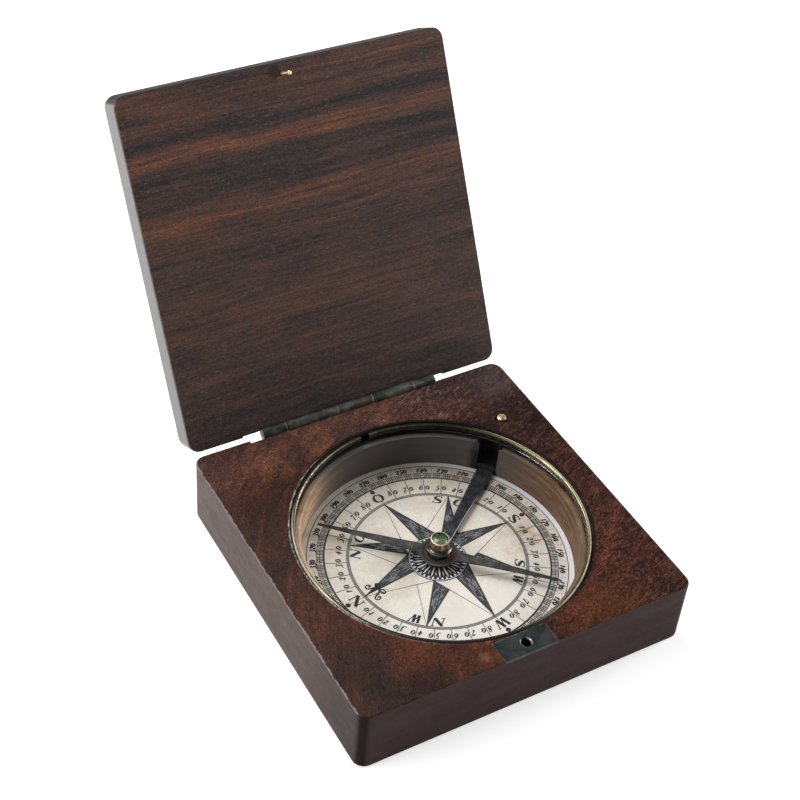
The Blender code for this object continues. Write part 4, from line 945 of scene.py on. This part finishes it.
# ---------------------------------------------------------- the card's print
class Print:
    """Thin raised ink.  Flat coordinates are millimetres from the card's centre,
    X towards the card's east and Y towards its north."""

    def __init__(self, low, high):
        self.low, self.high = low, high
        self.verts, self.faces = [], []

    def poly(self, pts):
        """A filled outline, counter-clockwise, as a closed thin slab."""
        area = sum(a[0] * b[1] - b[0] * a[1] for a, b in zip(pts, pts[1:] + pts[:1]))
        if area < 0:
            pts = pts[::-1]
        n, k = len(pts), len(self.verts)
        for z in (self.low, self.high):
            self.verts += [(p[0], p[1], z) for p in pts]
        self.faces.append(tuple(k + i for i in range(n))[::-1])
        self.faces.append(tuple(k + n + i for i in range(n)))
        for i in range(n):
            j = (i + 1) % n
            self.faces.append((k + i, k + j, k + n + j, k + n + i))

    def stroke(self, pts, widths, closed=False):
        """A pen line of changing width, as a closed thin slab."""
        n = len(pts)
        if not hasattr(widths, "__len__"):
            widths = [widths] * n
        left, right = [], []
        for i in range(n):
            a = pts[(i - 1) % n] if closed or i else pts[i]
            b = pts[(i + 1) % n] if closed or i < n - 1 else pts[i]
            dx, dy = b[0] - a[0], b[1] - a[1]
            d = math.hypot(dx, dy) or 1.0
            nx, ny = -dy / d * widths[i] / 2, dx / d * widths[i] / 2
            left.append((pts[i][0] + nx, pts[i][1] + ny))
            right.append((pts[i][0] - nx, pts[i][1] - ny))
        k = len(self.verts)
        for i in range(n):
            for q in (left[i], right[i]):
                self.verts.append((q[0], q[1], self.low))
                self.verts.append((q[0], q[1], self.high))
        # per point: left low, left high, right low, right high
        for i in range(n if closed else n - 1):
            a, b = k + 4 * i, k + 4 * ((i + 1) % n)
            self.faces.append((a + 1, a + 3, b + 3, b + 1))
            self.faces.append((a, b, b + 2, a + 2))
            self.faces.append((a, a + 1, b + 1, b))
            self.faces.append((a + 2, b + 2, b + 3, a + 3))
        if not closed:
            a, b = k, k + 4 * (n - 1)
            self.faces.append((a, a + 2, a + 3, a + 1))
            self.faces.append((b, b + 1, b + 3, b + 2))

    def circle(self, r, width, steps=180):
        pts = [(r * math.sin(2 * math.pi * i / steps), r * math.cos(2 * math.pi * i / steps))
               for i in range(steps)]
        self.stroke(pts, width, True)

    def dot(self, x, y, r, steps=20):
        self.poly([(x + r * math.cos(2 * math.pi * i / steps),
                    y + r * math.sin(2 * math.pi * i / steps)) for i in range(steps)])

    def make(self, name, mat):
        e = Vector((math.cos(N_HEADING), math.sin(N_HEADING)))
        s = Vector((math.sin(N_HEADING), -math.cos(N_HEADING)))
        out = [((CX + v[1] * e.x + v[0] * s.x) * MM, (CY + v[1] * e.y + v[0] * s.y) * MM,
                v[2] * MM) for v in self.verts]
        me = bpy.data.meshes.new(name)
        me.from_pydata(out, [], self.faces)
        me.validate()
        me.update()
        me.materials.append(mat)
        ob = bpy.data.objects.new(name, me)
        bpy.context.scene.collection.objects.link(ob)
        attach(ob, "base")
        return ob


def curve(pts, steps=5, widths=None):
    """A smooth line through points; widths are eased the same way."""
    out, ws = [], []
    n = len(pts)
    for i in range(n - 1):
        p0, p1, p2, p3 = pts[max(i - 1, 0)], pts[i], pts[i + 1], pts[min(i + 2, n - 1)]
        for s in range(steps):
            t = s / steps
            q = []
            for c in (0, 1):
                q.append(0.5 * (2 * p1[c] + (p2[c] - p0[c]) * t
                                + (2 * p0[c] - 5 * p1[c] + 4 * p2[c] - p3[c]) * t * t
                                + (3 * p1[c] - p0[c] - 3 * p2[c] + p3[c]) * t ** 3))
            out.append(tuple(q))
            if widths:
                ws.append(widths[i] * (1 - t) + widths[i + 1] * t)
    out.append(pts[-1])
    if widths:
        ws.append(widths[-1])
        return out, ws
    return out


def oval(cx, cy, rx, ry, thin, thick, tilt=0.0, steps=22):
    """An O drawn with a broad nib."""
    pts, ws = [], []
    for i in range(steps):
        a = 2 * math.pi * i / steps
        pts.append((cx + rx * math.cos(a), cy + ry * math.sin(a)))
        k = abs(math.cos(a + tilt)) ** 1.4
        ws.append(thin + (thick - thin) * k)
    return pts, ws, True


def line(a, b, w, w2=None):
    return [a, b], [w, w if w2 is None else w2], False


def soft(pts, widths):
    p, w = curve(pts, 5, widths)
    return p, w, False


# Strokes on a body one unit high; x runs right, y up.  Each glyph: width, strokes
GLYPH = {
    "0": (0.60, [oval(0.30, 0.37, 0.22, 0.36, 0.06, 0.17, 0.4)]),
    "1": (0.46, [soft([(0.06, 0.60), (0.18, 0.70), (0.28, 0.74)], [0.04, 0.08, 0.12]),
                 soft([(0.29, 0.76), (0.26, 0.40), (0.22, 0.04)], [0.16, 0.14, 0.12]),
                 line((0.08, 0.02), (0.38, 0.02), 0.05)]),
    "2": (0.62, [soft([(0.10, 0.55), (0.16, 0.71), (0.34, 0.76), (0.49, 0.64),
                       (0.42, 0.44), (0.22, 0.22), (0.06, 0.05)],
                      [0.10, 0.08, 0.10, 0.16, 0.13, 0.08, 0.06]),
                 soft([(0.06, 0.06), (0.22, 0.11), (0.40, 0.03), (0.56, 0.12)],
                      [0.05, 0.13, 0.13, 0.05])]),
    "3": (0.58, [soft([(0.10, 0.62), (0.20, 0.75), (0.36, 0.76), (0.46, 0.62),
                       (0.38, 0.46), (0.22, 0.38)], [0.09, 0.06, 0.09, 0.14, 0.09, 0.05]),
                 soft([(0.22, 0.38), (0.42, 0.30), (0.48, 0.10), (0.36, -0.12),
                       (0.16, -0.20), (0.02, -0.12)],
                      [0.05, 0.10, 0.16, 0.12, 0.06, 0.10])]),
    "4": (0.60, [line((0.40, 0.78), (0.04, 0.16), 0.07), line((0.03, 0.15), (0.58, 0.15), 0.08),
                 soft([(0.44, 0.56), (0.38, 0.16), (0.32, -0.20)], [0.16, 0.15, 0.13])]),
    "5": (0.58, [line((0.20, 0.75), (0.54, 0.78), 0.12, 0.07),
                 line((0.20, 0.76), (0.13, 0.40), 0.05),
                 soft([(0.13, 0.40), (0.32, 0.44), (0.47, 0.28), (0.44, 0.04),
                       (0.28, -0.16), (0.04, -0.18)],
                      [0.05, 0.08, 0.15, 0.15, 0.08, 0.10])]),
    "6": (0.60, [soft([(0.56, 0.98), (0.34, 0.84), (0.16, 0.56), (0.10, 0.30),
                       (0.18, 0.06), (0.32, 0.00), (0.48, 0.14), (0.50, 0.36),
                       (0.36, 0.54), (0.18, 0.46), (0.11, 0.30)],
                      [0.05, 0.08, 0.13, 0.17, 0.12, 0.06, 0.12, 0.14, 0.07, 0.05, 0.05])]),
    "7": (0.56, [soft([(0.06, 0.62), (0.10, 0.72), (0.30, 0.72), (0.54, 0.76)],
                      [0.05, 0.12, 0.14, 0.08]),
                 soft([(0.54, 0.76), (0.36, 0.40), (0.24, 0.06), (0.20, -0.20)],
                      [0.05, 0.08, 0.14, 0.16])]),
    "8": (0.58, [soft([(0.46, 0.82), (0.40, 0.96), (0.26, 0.98), (0.16, 0.84),
                       (0.22, 0.64), (0.38, 0.48), (0.50, 0.28), (0.44, 0.06),
                       (0.26, 0.00), (0.10, 0.12), (0.12, 0.34), (0.28, 0.52),
                       (0.44, 0.68), (0.46, 0.84)],
                      [0.08, 0.06, 0.05, 0.10, 0.15, 0.16, 0.15, 0.08, 0.05, 0.10, 0.10,
                       0.06, 0.07, 0.08])]),
    "9": (0.60, [soft([(0.05, -0.20), (0.26, -0.10), (0.44, 0.16), (0.50, 0.44),
                       (0.42, 0.68), (0.28, 0.76), (0.12, 0.62), (0.12, 0.40),
                       (0.26, 0.24), (0.42, 0.32), (0.49, 0.46)],
                      [0.05, 0.08, 0.14, 0.17, 0.12, 0.06, 0.13, 0.14, 0.07, 0.05, 0.05])]),
    "N": (1.18, [line((0.16, 0.0), (0.16, 1.0), 0.075), line((0.14, 0.96), (1.00, 0.02), 0.235),
                 line((1.02, 0.0), (1.02, 1.0), 0.075), line((0.00, 0.975), (0.26, 0.975), 0.06),
                 line((0.00, 0.025), (0.34, 0.025), 0.06),
                 line((0.86, 0.975), (1.18, 0.975), 0.06)]),
    "O": (1.05, [oval(0.52, 0.50, 0.42, 0.475, 0.07, 0.22)]),
    "W": (1.36, [line((0.14, 1.0), (0.42, 0.0), 0.20), line((0.43, 0.02), (0.70, 0.98), 0.075),
                 line((0.64, 1.0), (0.93, 0.0), 0.20), line((0.94, 0.02), (1.22, 0.98), 0.075),
                 line((0.00, 0.975), (0.32, 0.975), 0.06),
                 line((0.52, 0.975), (0.84, 0.975), 0.06),
                 line((1.06, 0.975), (1.36, 0.975), 0.06)]),
    "S": (0.96, [soft([(0.80, 0.76), (0.70, 0.91), (0.48, 0.965), (0.25, 0.90),
                       (0.18, 0.74), (0.32, 0.58), (0.56, 0.47), (0.78, 0.33),
                       (0.78, 0.14), (0.54, 0.035), (0.28, 0.07), (0.12, 0.26)],
                      [0.06, 0.07, 0.08, 0.13, 0.19, 0.22, 0.23, 0.20, 0.15, 0.08, 0.07,
                       0.06]),
                 line((0.81, 1.0), (0.81, 0.70), 0.07, 0.05),
                 line((0.11, 0.0), (0.11, 0.32), 0.07, 0.05)]),
}


def letters(pr, text, r, k, high, slant=0.0, wide=1.0, gap=0.08, bold=1.0, lift=0.0,
            scales=None):
    """Writes text round the card, tops outward, centred on bearing k degrees at
    middle radius r, on the arc."""
    scales = scales or [1.0] * len(text)
    total = sum(GLYPH[c][0] * s for c, s in zip(text, scales)) + gap * (len(text) - 1)
    pen = -total / 2
    for c, s in zip(text, scales):
        w, strokes = GLYPH[c]
        mid = pen + w * s / 2
        kk = math.radians(k) + mid * high * wide / r
        out = (math.sin(kk), math.cos(kk))
        side = (math.cos(kk), -math.sin(kk))
        base = r - high / 2 + lift * high
        for pts, ws, closed in strokes:
            q = []
            for px, py in pts:
                a = (px - w / 2 + (py - 0.4) * slant) * high * wide * s
                b = base + py * high * s
                q.append((out[0] * b + side[0] * a, out[1] * b + side[1] * a))
            pr.stroke(q, [x * high * s * bold for x in ws], closed)
        pen += w * s + gap


def at(r, k):
    """Bearing k degrees and radius r on the card."""
    a = math.radians(k)
    return (r * math.sin(a), r * math.cos(a))


def turned_to(p, k):
    a = math.radians(k)
    return (p[0] * math.cos(a) + p[1] * math.sin(a), p[1] * math.cos(a) - p[0] * math.sin(a))


Z0 = CARD_Z - 0.004
black = Print(Z0, CARD_Z + 0.024)
hatch = Print(Z0, CARD_Z + 0.012)
faint = Print(Z0, CARD_Z + 0.020)
tint = Print(Z0, CARD_Z + 0.010)
white = Print(CARD_Z + 0.010, CARD_Z + 0.030)
scratch = Print(CARD_Z + 0.008, CARD_Z + 0.027)
rose = Print(CARD_Z + 0.010, CARD_Z + 0.031)

# circles
tint.circle(22.50, 0.66)
black.circle(22.82, 0.11)
black.circle(22.16, 0.14)
black.circle(28.40, 0.42)
black.circle(30.24, 0.15)
black.circle(32.72, 0.20)
# the fine degree band: a tint with a tick at each degree
for i in range(360):
    k = i + 0.5
    if i % 5 == 0:
        black.stroke([at(28.5, i), at(30.25, i)], 0.13)
    else:
        faint.stroke([at(28.5, i), at(30.2, i)], 0.31 if i % 2 else 0.35)
faint.circle(29.42, 0.16)
# ten-degree rules with the numbers straddling them
quadrant = []
for i in range(36):
    k = i * 10
    if i % 9 == 0:
        black.stroke([at(22.8, k), at(23.6, k)], 0.10)
        x, y = at(27.5, k)
        black.dot(x, y, 0.66)
    else:
        faint.stroke([at(22.8, k), at(28.3, k)], 0.21)
        v = i % 9 if (i // 9) % 2 == 0 else 9 - i % 9
        dk = math.degrees(0.80 / 25.04)
        letters(black, str(v), 25.10, k - dk * 1.12, 1.72, 0.26, 1.0, bold=1.60)
        letters(black, "0", 25.10, k + dk * 1.00, 1.72, 0.26, 1.0, bold=1.50)
# cardinal letters, and a hairline through each
for k, c, w in ((0, "N", 3.35), (90, "O", 2.90), (180, "S", 2.75), (270, "W", 3.80)):
    letters(black, c, 24.95, k, 2.76, 0.0, w / 2.76 / GLYPH[c][0], bold=1.35)
    black.stroke([at(22.7, k), at(27.4, k)], 0.10)
# outer scale
for i in range(36):
    v = (360 - i * 10) % 360 or 360
    letters(black, str(v), 31.46, i * 10, 1.60, 0.26, 0.95, 0.06, bold=1.90)
    faint.stroke([at(30.3, i * 10), at(32.6, i * 10)], 0.14)
    k = i * 10 + 5
    black.stroke([at(31.0, k), at(31.35, k)], 0.16)
    black.stroke([at(31.75, k), at(32.1, k)], 0.16)
# intercardinal letters
for k, a, b in ((45, "N", "O"), (135, "S", "O"), (225, "S", "W"), (315, "N", "W")):
    wide = {"N": 3.1, "W": 2.9, "S": 2.6, "O": 2.7}
    letters(black, a, 20.55, k - 7.3, 2.50, 0.26, wide[a] / 2.5 / GLYPH[a][0], bold=1.40)
    letters(black, b, 20.55, k + 8.3, 2.50, 0.26, wide[b] / 2.5 / GLYPH[b][0], bold=1.40)

# the eight-point star
TIP, TIP2, CORNER = 22.6, 22.3, (5.27, 5.27)
HALF = math.radians(17.3)


def cross(p, q, r, s):
    """Where line p-q meets line r-s."""
    d1, d2 = (q[0] - p[0], q[1] - p[1]), (s[0] - r[0], s[1] - r[1])
    den = d1[0] * d2[1] - d1[1] * d2[0]
    t = ((r[0] - p[0]) * d2[1] - (r[1] - p[1]) * d2[0]) / den
    return (p[0] + d1[0] * t, p[1] + d1[1] * t)


def hatched(tri, lines, spread):
    """A dark half of a point: a tint, a heavy outline and long fine lines."""
    tip, a, b = tri
    hatch.poly([tip, a, b])
    black.stroke([tip, a], [0.16, 0.36])
    black.stroke([tip, b], [0.16, 0.36])
    for i in range(1, lines):
        t = i / lines
        q = (a[0] * (1 - t) + b[0] * t, a[1] * (1 - t) + b[1] * t)
        s = 0.10 + 0.16 * abs(math.sin(i * 2.4))
        p = (tip[0] * (1 - s) + q[0] * s, tip[1] * (1 - s) + q[1] * s)
        e = 0.97
        q = (tip[0] * (1 - e) + q[0] * e, tip[1] * (1 - e) + q[1] * e)
        black.stroke([p, q], [0.05, spread])
        # the engraver's thin pale gaps
        g = t + 0.5 / lines
        q = (a[0] * (1 - g) + b[0] * g, a[1] * (1 - g) + b[1] * g)
        u = 0.30 + 0.25 * abs(math.sin(i * 1.7 + tip[0]))
        while u < 0.90 and i < lines - 1:
            v = min(u + 0.07 + 0.10 * abs(math.sin(u * 37.0 + i)), 0.95)
            scratch.stroke([(tip[0] * (1 - w) + q[0] * w, tip[1] * (1 - w) + q[1] * w)
                            for w in (u, v)], [0.07, 0.13])
            u = v + 0.05 + 0.16 * abs(math.sin(u * 53.0 + i * 2.3))


for j in range(4):
    k = 90 * j
    tip = (0, TIP)
    right, left = CORNER, (-CORNER[0], CORNER[1])
    near = (0, 6.6)
    dark = right if k in (0, 90) else left     # east and south sides are dark
    pale = left if k in (0, 90) else right
    # N dark to the east, E to the south, S to the east, W to the south
    p = [turned_to(q, k) for q in (tip, dark, near)]
    hatched(p, 10, 0.13)
    a, b = turned_to(tip, k), turned_to(pale, k)
    black.stroke([a, b], [0.10, 0.19])
    # intercardinal point between this one and the next clockwise
    kk = k + 45
    tip2 = turned_to((0, TIP2), kk)
    side_r = turned_to((math.sin(HALF) * 20, TIP2 - math.cos(HALF) * 20), kk)
    side_l = turned_to((-math.sin(HALF) * 20, TIP2 - math.cos(HALF) * 20), kk)
    meet_l = cross(tip2, side_l, turned_to((0, TIP), k), turned_to(CORNER, k))
    meet_r = cross(tip2, side_r, turned_to((0, TIP), k + 90),
                   turned_to((-CORNER[0], CORNER[1]), k + 90))
    inner = turned_to(CORNER, k)
    # NE dark on its east side, SE and SW to the south, NW to the west
    right_dark = {0: True, 90: True, 180: False, 270: False}[k]
    d, pl = (meet_r, meet_l) if right_dark else (meet_l, meet_r)
    hatched([tip2, d, inner], 9, 0.13)
    black.stroke([tip2, pl], [0.10, 0.15])

# fleur-de-lis on the north point
black.poly([(0, 22.5), (0.55, 21.0), (0.78, 20.0), (0.62, 19.0), (0.35, 18.4), (0, 18.3)])
white.poly([(0, 21.9), (0, 18.6), (-0.25, 18.7), (-0.55, 19.3), (-0.66, 20.0),
            (-0.45, 20.9)])
black.stroke(*curve([(0, 22.5), (-0.50, 21.0), (-0.76, 20.0), (-0.60, 19.0), (-0.3, 18.4)],
                    4, [0.06, 0.12, 0.16, 0.14, 0.10]))
for s in (-1, 1):
    black.stroke(*curve([(0.45 * s, 18.5), (1.05 * s, 19.1), (1.35 * s, 20.1),
                         (1.9 * s, 20.75), (2.55 * s, 20.45), (2.62 * s, 19.75),
                         (2.1 * s, 19.35), (1.75 * s, 19.75)], 5,
                        [0.32, 0.45, 0.48, 0.42, 0.36, 0.35, 0.34, 0.25]))
    black.stroke(*curve([(0.25 * s, 18.1), (0.8 * s, 17.5), (1.45 * s, 17.35),
                         (1.9 * s, 17.8), (1.6 * s, 18.3)], 5,
                        [0.30, 0.37, 0.34, 0.31, 0.24]))
    black.dot(1.55 * s, 18.1, 0.33, 12)
    black.dot(2.0 * s, 19.85, 0.27, 12)
black.stroke([(-1.4, 18.32), (1.4, 18.32)], 0.46)
black.stroke([(0, 18.3), (0, 15.8)], [0.24, 0.10])
black.stroke(*curve([(-0.3, 17.9), (-0.8, 17.0), (-1.5, 16.4)], 4, [0.10, 0.14, 0.08]))

# the centre rose: long and short rays on dark inside a fine ring
black.poly([at(7.50, i * 360 / 120) for i in range(120)][::-1])
rose.circle(7.16, 0.12, 120)
for i in range(36):
    k = i * 10 + 3
    if i % 2 == 0:
        rose.poly([at(3.2, k - 1.5), at(5.0, k - 2.6), at(6.55, k), at(5.0, k + 2.6),
                   at(3.2, k + 1.5)])
    else:
        rose.poly([at(4.0, k), at(5.2, k - 1.3), at(5.9, k), at(5.2, k + 1.3)])
    rose.poly([at(6.10, k + 5), at(6.92, k + 2.6), at(6.92, k + 7.4)])

black.make("card_print_black", MAT_INK)
hatch.make("card_print_hatching", MAT_GREY)
faint.make("card_print_fine_lines", MAT_FINE)
tint.make("card_print_grey_circle", MAT_TINT)
white.make("card_print_rays", MAT_CARD)
scratch.make("card_print_gaps", MAT_PALE)
rose.make("card_print_rose", MAT_WHITE)


# ------------------------------------------------------ the split glass ring
def mesh_piece(name, verts, faces, mat):
    me = bpy.data.meshes.new(name)
    me.from_pydata(verts, [], faces)
    me.update()
    me.materials.append(mat)
    ob = bpy.data.objects.new(name, me)
    bpy.context.scene.collection.objects.link(ob)
    return ob


def swept_ring():
    """A half-round brass strip bent to a circle, with its ends apart."""
    low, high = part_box("bezel_ring")
    r_out = (high.x - low.x) / 2 / MM
    r_in = r_out - 1.25
    z0, z1 = low.z / MM, high.z / MM
    prof = [(r_in + 0.06, z0), (r_in, z0 + 0.06), (r_in, z1 - 0.46)]
    for i in range(1, 7):
        a = math.radians(180 - 15 * i)
        prof.append((r_in + 0.46 + 0.46 * math.cos(a), z1 - 0.46 + 0.46 * math.sin(a)))
    prof.append((r_in + 0.80, z1))
    for i in range(1, 6):
        a = math.radians(90 - 18 * i)
        prof.append((r_out - 0.42 + 0.42 * math.cos(a), z1 - 0.42 + 0.42 * math.sin(a)))
    prof += [(r_out, z0 + 0.06), (r_out - 0.06, z0)]
    half = math.degrees(1.3 / r_out)
    start, end = 93.1 + half, 93.1 - half + 360
    steps, n = 300, len(prof)
    verts, faces = [], []
    for s in range(steps + 1):
        a = math.radians(start + (end - start) * s / steps)
        for pr, pz in prof:
            verts.append(((CX + pr * math.cos(a)) * MM, (CY + pr * math.sin(a)) * MM,
                          pz * MM))
    for s in range(steps):
        for i in range(n):
            j = (i + 1) % n
            a, b = s * n, (s + 1) * n
            faces.append((a + i, b + i, b + j, a + j))
    faces.append(tuple(range(n)))
    faces.append(tuple(range(steps * n, steps * n + n))[::-1])
    ob = mesh_piece("bezel_ring_strip", verts, faces, MAT_BRASS)
    import bmesh
    bm = bmesh.new()
    bm.from_mesh(ob.data)
    bmesh.ops.recalc_face_normals(bm, faces=bm.faces)
    bm.to_mesh(ob.data)
    bm.free()
    m = ob.modifiers.new("smooth", "NODES")
    m.node_group = SMOOTH
    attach(ob, "base")
    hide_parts("bezel_ring")
    return ob


swept_ring()


# ----------------------------------------------------------- floor and light
def floor_material():
    m = bpy.data.materials.new("floor_white")
    m.use_nodes = True
    b = m.node_tree.nodes["Principled BSDF"]
    b.inputs["Base Color"].default_value = (0.74, 0.74, 0.74, 1)
    b.inputs["Roughness"].default_value = 0.9
    b.inputs["Specular IOR Level"].default_value = 0.0
    b.inputs["Emission Color"].default_value = (1, 1, 1, 1)
    b.inputs["Emission Strength"].default_value = 0.50
    return m


floor = mesh_piece("floor", [(-6, -6, -2e-5), (6, -6, -2e-5), (6, 6, -2e-5), (-6, 6, -2e-5)],
                   [(0, 1, 2, 3)], floor_material())


def area(name, where, aim, size, power, colour=(1, 1, 1), size_y=None):
    data = bpy.data.lights.new(name, "AREA")
    data.shape = "RECTANGLE"
    data.size = size
    data.size_y = size_y or size
    data.energy = power
    data.color = colour
    ob = bpy.data.objects.new(name, data)
    bpy.context.scene.collection.objects.link(ob)
    ob.location = where
    ob.rotation_mode = "QUATERNION"
    ob.rotation_quaternion = (Vector(aim) - Vector(where)).to_track_quat("-Z", "Y")
    return ob


def from_angle(az, el, dist):
    a, e = math.radians(az), math.radians(el)
    return (dist * math.cos(e) * math.cos(a), dist * math.cos(e) * math.sin(a),
            dist * math.sin(e))


area("rear_key", from_angle(104, 54, 1.15), (0, 0, 0.01), 0.60, 10.5)
area("left_softbox", from_angle(165, 30, 1.2), (0, 0, 0.01), 0.60, 7.0)
area("right_softbox", from_angle(-8, 30, 1.2), (0, 0, 0.01), 0.60, 12.0)

# the room: a white sweep low down behind and to the right, dark above it and in
# front, dim light from the left
world = bpy.data.worlds.new("studio")
bpy.context.scene.world = world
world.use_nodes = True
wt = world.node_tree
bg = wt.nodes["Background"]
bg.inputs["Color"].default_value = (1, 1, 1, 1)
tc = wt.nodes.new("ShaderNodeTexCoord")


def wmath(op, a, b=None):
    n = wt.nodes.new("ShaderNodeMath")
    n.operation = op
    for i, v in enumerate((a, b)):
        if v is None:
            continue
        if hasattr(v, "is_output"):
            wt.links.new(v, n.inputs[i])
        else:
            n.inputs[i].default_value = v
    return n.outputs[0]


def wdot(v):
    n = wt.nodes.new("ShaderNodeVectorMath")
    n.operation = "DOT_PRODUCT"
    wt.links.new(tc.outputs["Generated"], n.inputs[0])
    n.inputs[1].default_value = v
    return n.outputs["Value"]


def wspan(v, a, b, lo=0.0, hi=1.0):
    n = wt.nodes.new("ShaderNodeMapRange")
    n.interpolation_type = "SMOOTHSTEP"
    wt.links.new(v, n.inputs["Value"])
    n.inputs["From Min"].default_value = a
    n.inputs["From Max"].default_value = b
    n.inputs["To Min"].default_value = lo
    n.inputs["To Max"].default_value = hi
    return n.outputs["Result"]


sweep = wmath("MULTIPLY", wspan(wdot((0.70, 0.71, 0.0)), 0.0, 0.6),
              wspan(wdot((0.0, 0.0, 1.0)), 0.20, 0.42, 0.95, 0.0))
left = wspan(wdot((-0.93, 0.1, 0.35)), 0.1, 0.9, 0.0, 0.45)
wt.links.new(wmath("ADD", wmath("ADD", sweep, left), 0.05), bg.inputs["Strength"])
bpy.context.scene.view_settings.view_transform = "Standard"
bpy.context.scene.view_settings.look = "None"
